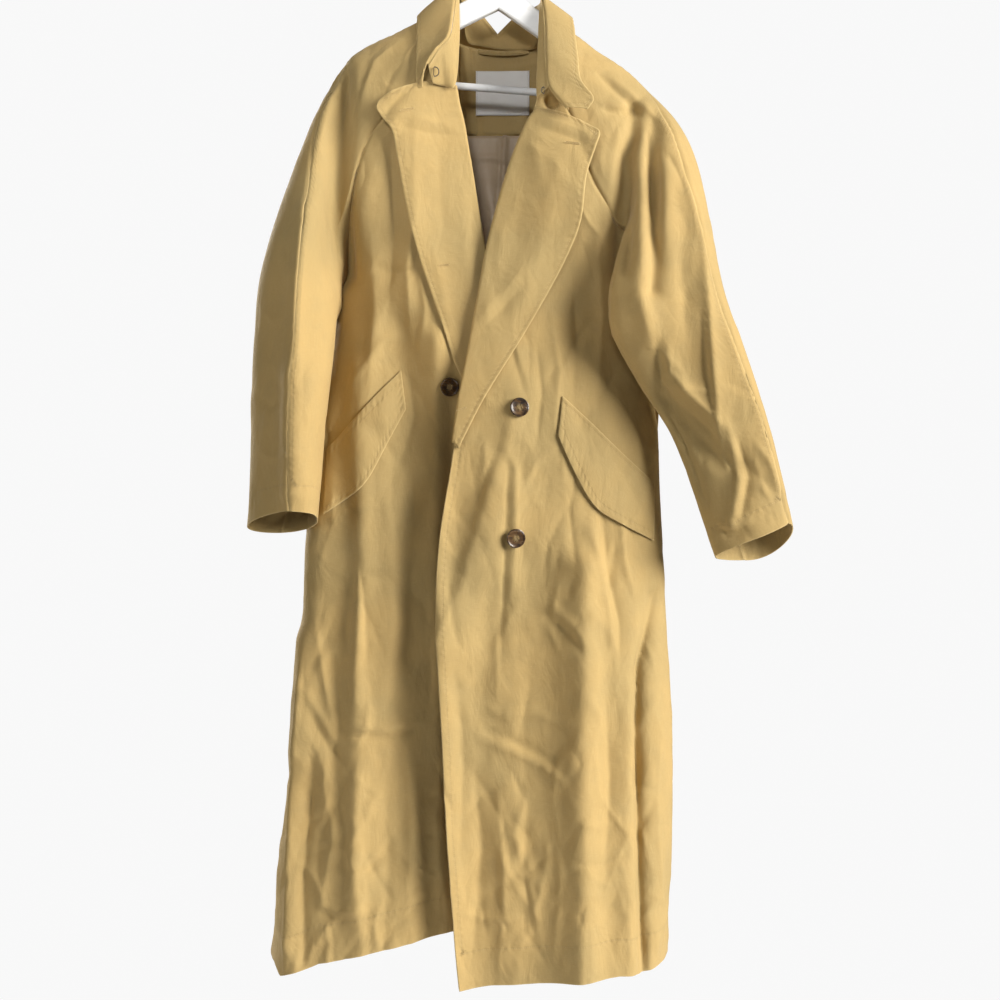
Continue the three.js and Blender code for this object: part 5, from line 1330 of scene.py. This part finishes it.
def button_model():
    """A dished four-hole horn button about the origin, its face up +Z."""
    b = {key: value * MM for key, value in BUTTON.items()}
    clear_selection()
    bpy.ops.mesh.primitive_cylinder_add(vertices=56, radius=b["radius"], depth=b["depth"],
                                        location=(0, 0, b["depth"] / 2))
    piece = added("button", HORN)
    pick(piece, lambda normal: normal.z > 0.9)
    # the rim's crest, the drop into the dish and the dish's middle
    for inset, rise in ((0.55, 0.5 * MM), (0.45, -b["dish"]), (1.3, -0.5 * MM)):
        bpy.ops.mesh.inset(thickness=b["rim"] * inset)
        bpy.ops.transform.translate(value=(0, 0, rise))
    pick(piece, lambda normal: normal.z < -0.9)
    bpy.ops.mesh.inset(thickness=b["rim"])
    bpy.ops.transform.translate(value=(0, 0, -0.7 * MM))
    bpy.ops.object.mode_set(mode="OBJECT")
    apply_modifier(piece, "BEVEL", width=0.5 * MM, segments=3, limit_method="ANGLE",
                   angle_limit=math.radians(22))
    for x, y in ((1, 1), (1, -1), (-1, 1), (-1, -1)):
        clear_selection()
        bpy.ops.mesh.primitive_cylinder_add(
            vertices=18, radius=b["hole"], depth=0.02,
            location=(x * b["spread"], y * b["spread"], b["depth"] / 2))
        drill = bpy.context.active_object
        apply_modifier(piece, "BOOLEAN", operation="DIFFERENCE", object=drill, solver="EXACT")
        bpy.data.objects.remove(drill)
    closed_up(piece, 30)
    face = piece.data.uv_layers.new(name="Face")
    for loop in piece.data.loops:
        x, y, _ = piece.data.vertices[loop.vertex_index].co
        face.data[loop.index].uv = (x / b["radius"], y / b["radius"])
    while len(piece.data.uv_layers) > 1:
        spare = next(layer for layer in piece.data.uv_layers if layer.name != "Face")
        piece.data.uv_layers.remove(spare)
    return piece


def button_thread_model():
    """Two pairs of strands over the button's holes and the wound shank below it."""
    floor = (BUTTON["depth"] - BUTTON["dish"] - 0.1) * MM
    strands = []
    for x in (-BUTTON["spread"], BUTTON["spread"]):
        for nudge in (-STRAND["apart"], STRAND["apart"]):
            clear_selection()
            bpy.ops.mesh.primitive_cylinder_add(
                vertices=10, radius=STRAND["radius"] * MM, depth=2 * BUTTON["spread"] * MM,
                location=((x + nudge) * MM, 0, floor + STRAND["rise"] * MM), rotation=(math.pi / 2, 0, 0))
            strand = added("strand", YARN)
            pick(strand, lambda normal: abs(normal.y) > 0.9)
            bpy.ops.mesh.extrude_region_move(TRANSFORM_OT_translate={"value": (0, 0, -STRAND["dive"] * MM)})
            bpy.ops.object.mode_set(mode="OBJECT")
            strands.append(strand)
    clear_selection()
    bpy.ops.mesh.primitive_cylinder_add(vertices=14, radius=SHANK["radius"] * MM,
                                        depth=SHANK["length"] * MM, location=(0, 0, SHANK["low"] * MM))
    strands.append(added("shank", YARN))
    select_only(strands[0])
    for strand in strands[1:]:
        strand.select_set(True)
    bpy.ops.object.join()
    piece = bpy.context.active_object
    piece.name = piece.data.name = "button_thread"
    return closed_up(piece, 60)


def seat_matrix(tree, x, z, lift, turn=0.0):
    """The place of a piece that lies on the cloth at x and z, its own +Z out of the cloth."""
    y, _ = depth_at(tree, x, z)
    samples = []
    for dx, dz in ((-SEAT, 0), (SEAT, 0), (0, -SEAT), (0, SEAT)):
        found = depth_at(tree, x + dx, z + dz)
        samples.append(Vector((x + dx, found[0] if found else y, z + dz)))
    out = (samples[1] - samples[0]).cross(samples[3] - samples[2]).normalized()
    out = out if out.y < 0 else -out
    wanted = Vector((math.cos(turn), 0, math.sin(turn)))
    across = (wanted - out * out.dot(wanted)).normalized()
    matrix = Matrix((across, out.cross(across), out)).transposed().to_4x4()
    foremost = min([sample.y for sample in samples] + [y])
    matrix.translation = (Vector((x, (y + foremost) / 2, z)) + out * lift) * MM
    return matrix


def copy_at(model, name, matrix, slot, *nodes):
    mesh = model.data.copy()
    mesh.name = name
    mesh.transform(matrix)
    return settle(linked(name, mesh), slot, *nodes)


button = button_model()
button_thread = button_thread_model()
for row in BUTTONS:
    seat = seat_matrix(front_trees[row["side"]], *row["at"], CLOTH / 2 + BUTTON_STAND, row["turn"])
    copy_at(button, row["name"] + "_horn", seat, "button", row["name"])
    copy_at(button_thread, row["name"] + "_thread", seat, "cotton")
bpy.data.objects.remove(button)
bpy.data.objects.remove(button_thread)


WORKED_HOLE = dict(end=3, bead=0.75, half_slit=8, narrowed=0.42, flattened=0.8)


def worked_hole_model():
    """A buttonhole about the origin: a narrow slit closed round by a raised bead of thread."""
    hole = WORKED_HOLE
    clear_selection()
    bpy.ops.mesh.primitive_torus_add(major_segments=64, minor_segments=8, major_radius=hole["end"] * MM,
                                     minor_radius=hole["bead"] * MM)
    piece = added("worked_hole", YARN)
    for corner in piece.data.vertices:
        corner.co.x += hole["half_slit"] * MM if corner.co.x > 0 else -hole["half_slit"] * MM
        corner.co.y *= hole["narrowed"]
        corner.co.z *= hole["flattened"]
    return closed_up(piece, 70)


worked_hole = worked_hole_model()
for row in HOLES:
    seat = seat_matrix(lapel_trees[row["side"]], *row["at"], FACED / 2 + HOLE_STAND, row["turn"])
    copy_at(worked_hole, row["name"], seat @ Matrix.Scale(row["scale"], 4), "cotton")
bpy.data.objects.remove(worked_hole)

# The hanger keeps its solids, with its lacquer; its hook is drawn finer.
for name in ("hanger_board", "trouser_bar"):
    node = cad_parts[name]
    node.data.materials.clear()
    node.data.materials.append(LACQUER)

# The hook: its crook's centre and radius, the angle of its tip and of its sweep, its straight run,
# the bend that sets it upright, and the height of its foot in the board.
CROOK = dict(wire=4.0, centre=-22.0, radius=24.0, start=200, sweep=250, bend=8.0, run=24.2, lean=50,
             foot=-78.0)


def hook_wire():
    """The hook's wire, spun round its crook, run down to the board and bent upright."""
    c = CROOK
    tip = math.radians(c["start"])
    clear_selection()
    bpy.ops.mesh.primitive_circle_add(
        vertices=18, radius=c["wire"] / 2 * MM, fill_type="NGON",
        location=(c["radius"] * math.cos(tip) * MM, 0, (c["centre"] + c["radius"] * math.sin(tip)) * MM),
        rotation=(0, -math.radians(c["start"] - 180), 0))
    piece = added("hook_wire", CHROME)
    pick(piece)
    bpy.ops.mesh.spin(steps=48, angle=-math.radians(c["sweep"]), axis=(0, 1, 0),
                      center=(0, 0, c["centre"] * MM))
    last = tip - math.radians(c["sweep"])
    heading = Vector((math.sin(last), 0, -math.cos(last)))
    end = Vector((c["radius"] * math.cos(last), 0, c["centre"] + c["radius"] * math.sin(last)))
    bpy.ops.mesh.extrude_region_move(TRANSFORM_OT_translate={"value": heading * c["run"] * MM})
    end += heading * c["run"]
    bend = end + Vector((-heading.z, 0, heading.x)) * c["bend"]
    bpy.ops.mesh.spin(steps=10, angle=math.radians(c["lean"]), axis=(0, 1, 0), center=bend * MM)
    bpy.ops.mesh.extrude_region_move(TRANSFORM_OT_translate={"value": (0, 0, (c["foot"] - bend.z) * MM)})
    bpy.ops.mesh.select_all(action="SELECT")
    bpy.ops.mesh.remove_doubles(threshold=DOUBLES)
    bpy.ops.mesh.fill_holes(sides=20)
    return closed_up(piece, 50)


settle(hook_wire(), "steel", "hanger_hook")


def eye_ring(name, node, at, width, height, wire, flat_side):
    """A bent wire: a ring with one side drawn straight."""
    clear_selection()
    bpy.ops.mesh.primitive_torus_add(major_segments=40, minor_segments=10, major_radius=height / 2 * MM,
                                     minor_radius=wire / 2 * MM, location=[part * MM for part in at],
                                     rotation=(math.pi / 2, 0, 0))
    piece = added(name, ENAMEL)
    for corner in piece.data.vertices:
        corner.co.x *= width / height
        if corner.co.x * flat_side > 0:
            corner.co.x *= 0.45
            corner.co.y *= 1.08
    return settle(closed_up(piece, 60), "eyelet", node)


for row in rows_of("name node at width height wire flat_side",
                   ("collar_eye_wire", "collar_eye", (-91, -69.2, -213), 10, 12, 1.5, -1),
                   ("collar_hook_wire", "collar_hook", (50, -72.2, -238), 6, 8, 1.4, 1)):
    eye_ring(**row)

# ---- studio ----
clear_selection()
bpy.ops.mesh.primitive_circle_add(vertices=96, radius=1.2, fill_type="NGON", location=(0, 0, -1.95))
floor = added("studio_floor", stage_finish())
pick(floor)
bpy.ops.mesh.extrude_region_move(TRANSFORM_OT_translate={"value": (0, 0, -0.02)})
closed_up(floor)

clear_selection()
bpy.ops.mesh.primitive_ico_sphere_add(subdivisions=4, radius=14)
surround = added("studio_surround", backdrop_finish())
for sight in ("diffuse", "glossy", "transmission", "volume_scatter", "shadow"):
    setattr(surround, "visible_" + sight, False)

scene = bpy.context.scene
scene.view_settings.view_transform = "Standard"
world = bpy.data.worlds.new("studio")
world.use_nodes = True
backdrop = world.node_tree.nodes["Background"]
backdrop.inputs[0].default_value = (1.0, 0.96, 0.88, 1)
backdrop.inputs[1].default_value = 0.035
scene.world = world


def aimed(name, lamp, place, aim):
    holder = linked(name, lamp)
    holder.location = place
    holder.rotation_euler = (Vector(aim) - Vector(place)).to_track_quat("-Z", "Y").to_euler()


LIGHTS = rows_of(
    "name place aim size power tint",
    ("key", (5.4, -2.9, 1.05), (0, 0, -0.75), 4.0, 850, (1.0, 0.975, 0.925)),
    ("front", (-0.3, -3.4, -0.3), (0, 0, -0.75), 1.6, 5, (1.0, 0.98, 0.93)),
    ("fill", (-3.2, -1.9, -0.2), (0, 0, -0.75), 2.0, 42, (1.0, 0.97, 0.9)),
    ("back", (-1.8, 2.6, 0.4), (0, 0, -0.7), 1.2, 120, (1.0, 0.98, 0.94)))
for row in LIGHTS:
    lamp = bpy.data.lights.new(row["name"], "AREA")
    lamp.shape = "DISK"
    lamp.size, lamp.energy, lamp.color = row["size"], row["power"], row["tint"]
    aimed(row["name"], lamp, row["place"], row["aim"])
snoot = bpy.data.lights.new("neck_spot", "SPOT")
snoot.energy, snoot.shadow_soft_size = 220, 0.35
snoot.spot_size, snoot.spot_blend = math.radians(13), 1.0
aimed("neck_spot", snoot, (-0.25, -2.1, 0.28), (0, 0, -0.22))

camera = bpy.data.cameras.new("camera")
camera.sensor_width = 36
camera.lens = 51.8
viewer = linked("camera", camera)
viewer.location = (-0.0066, -1.94, -0.770)
viewer.rotation_euler = (math.pi / 2, 0, 0)
scene.camera = viewer
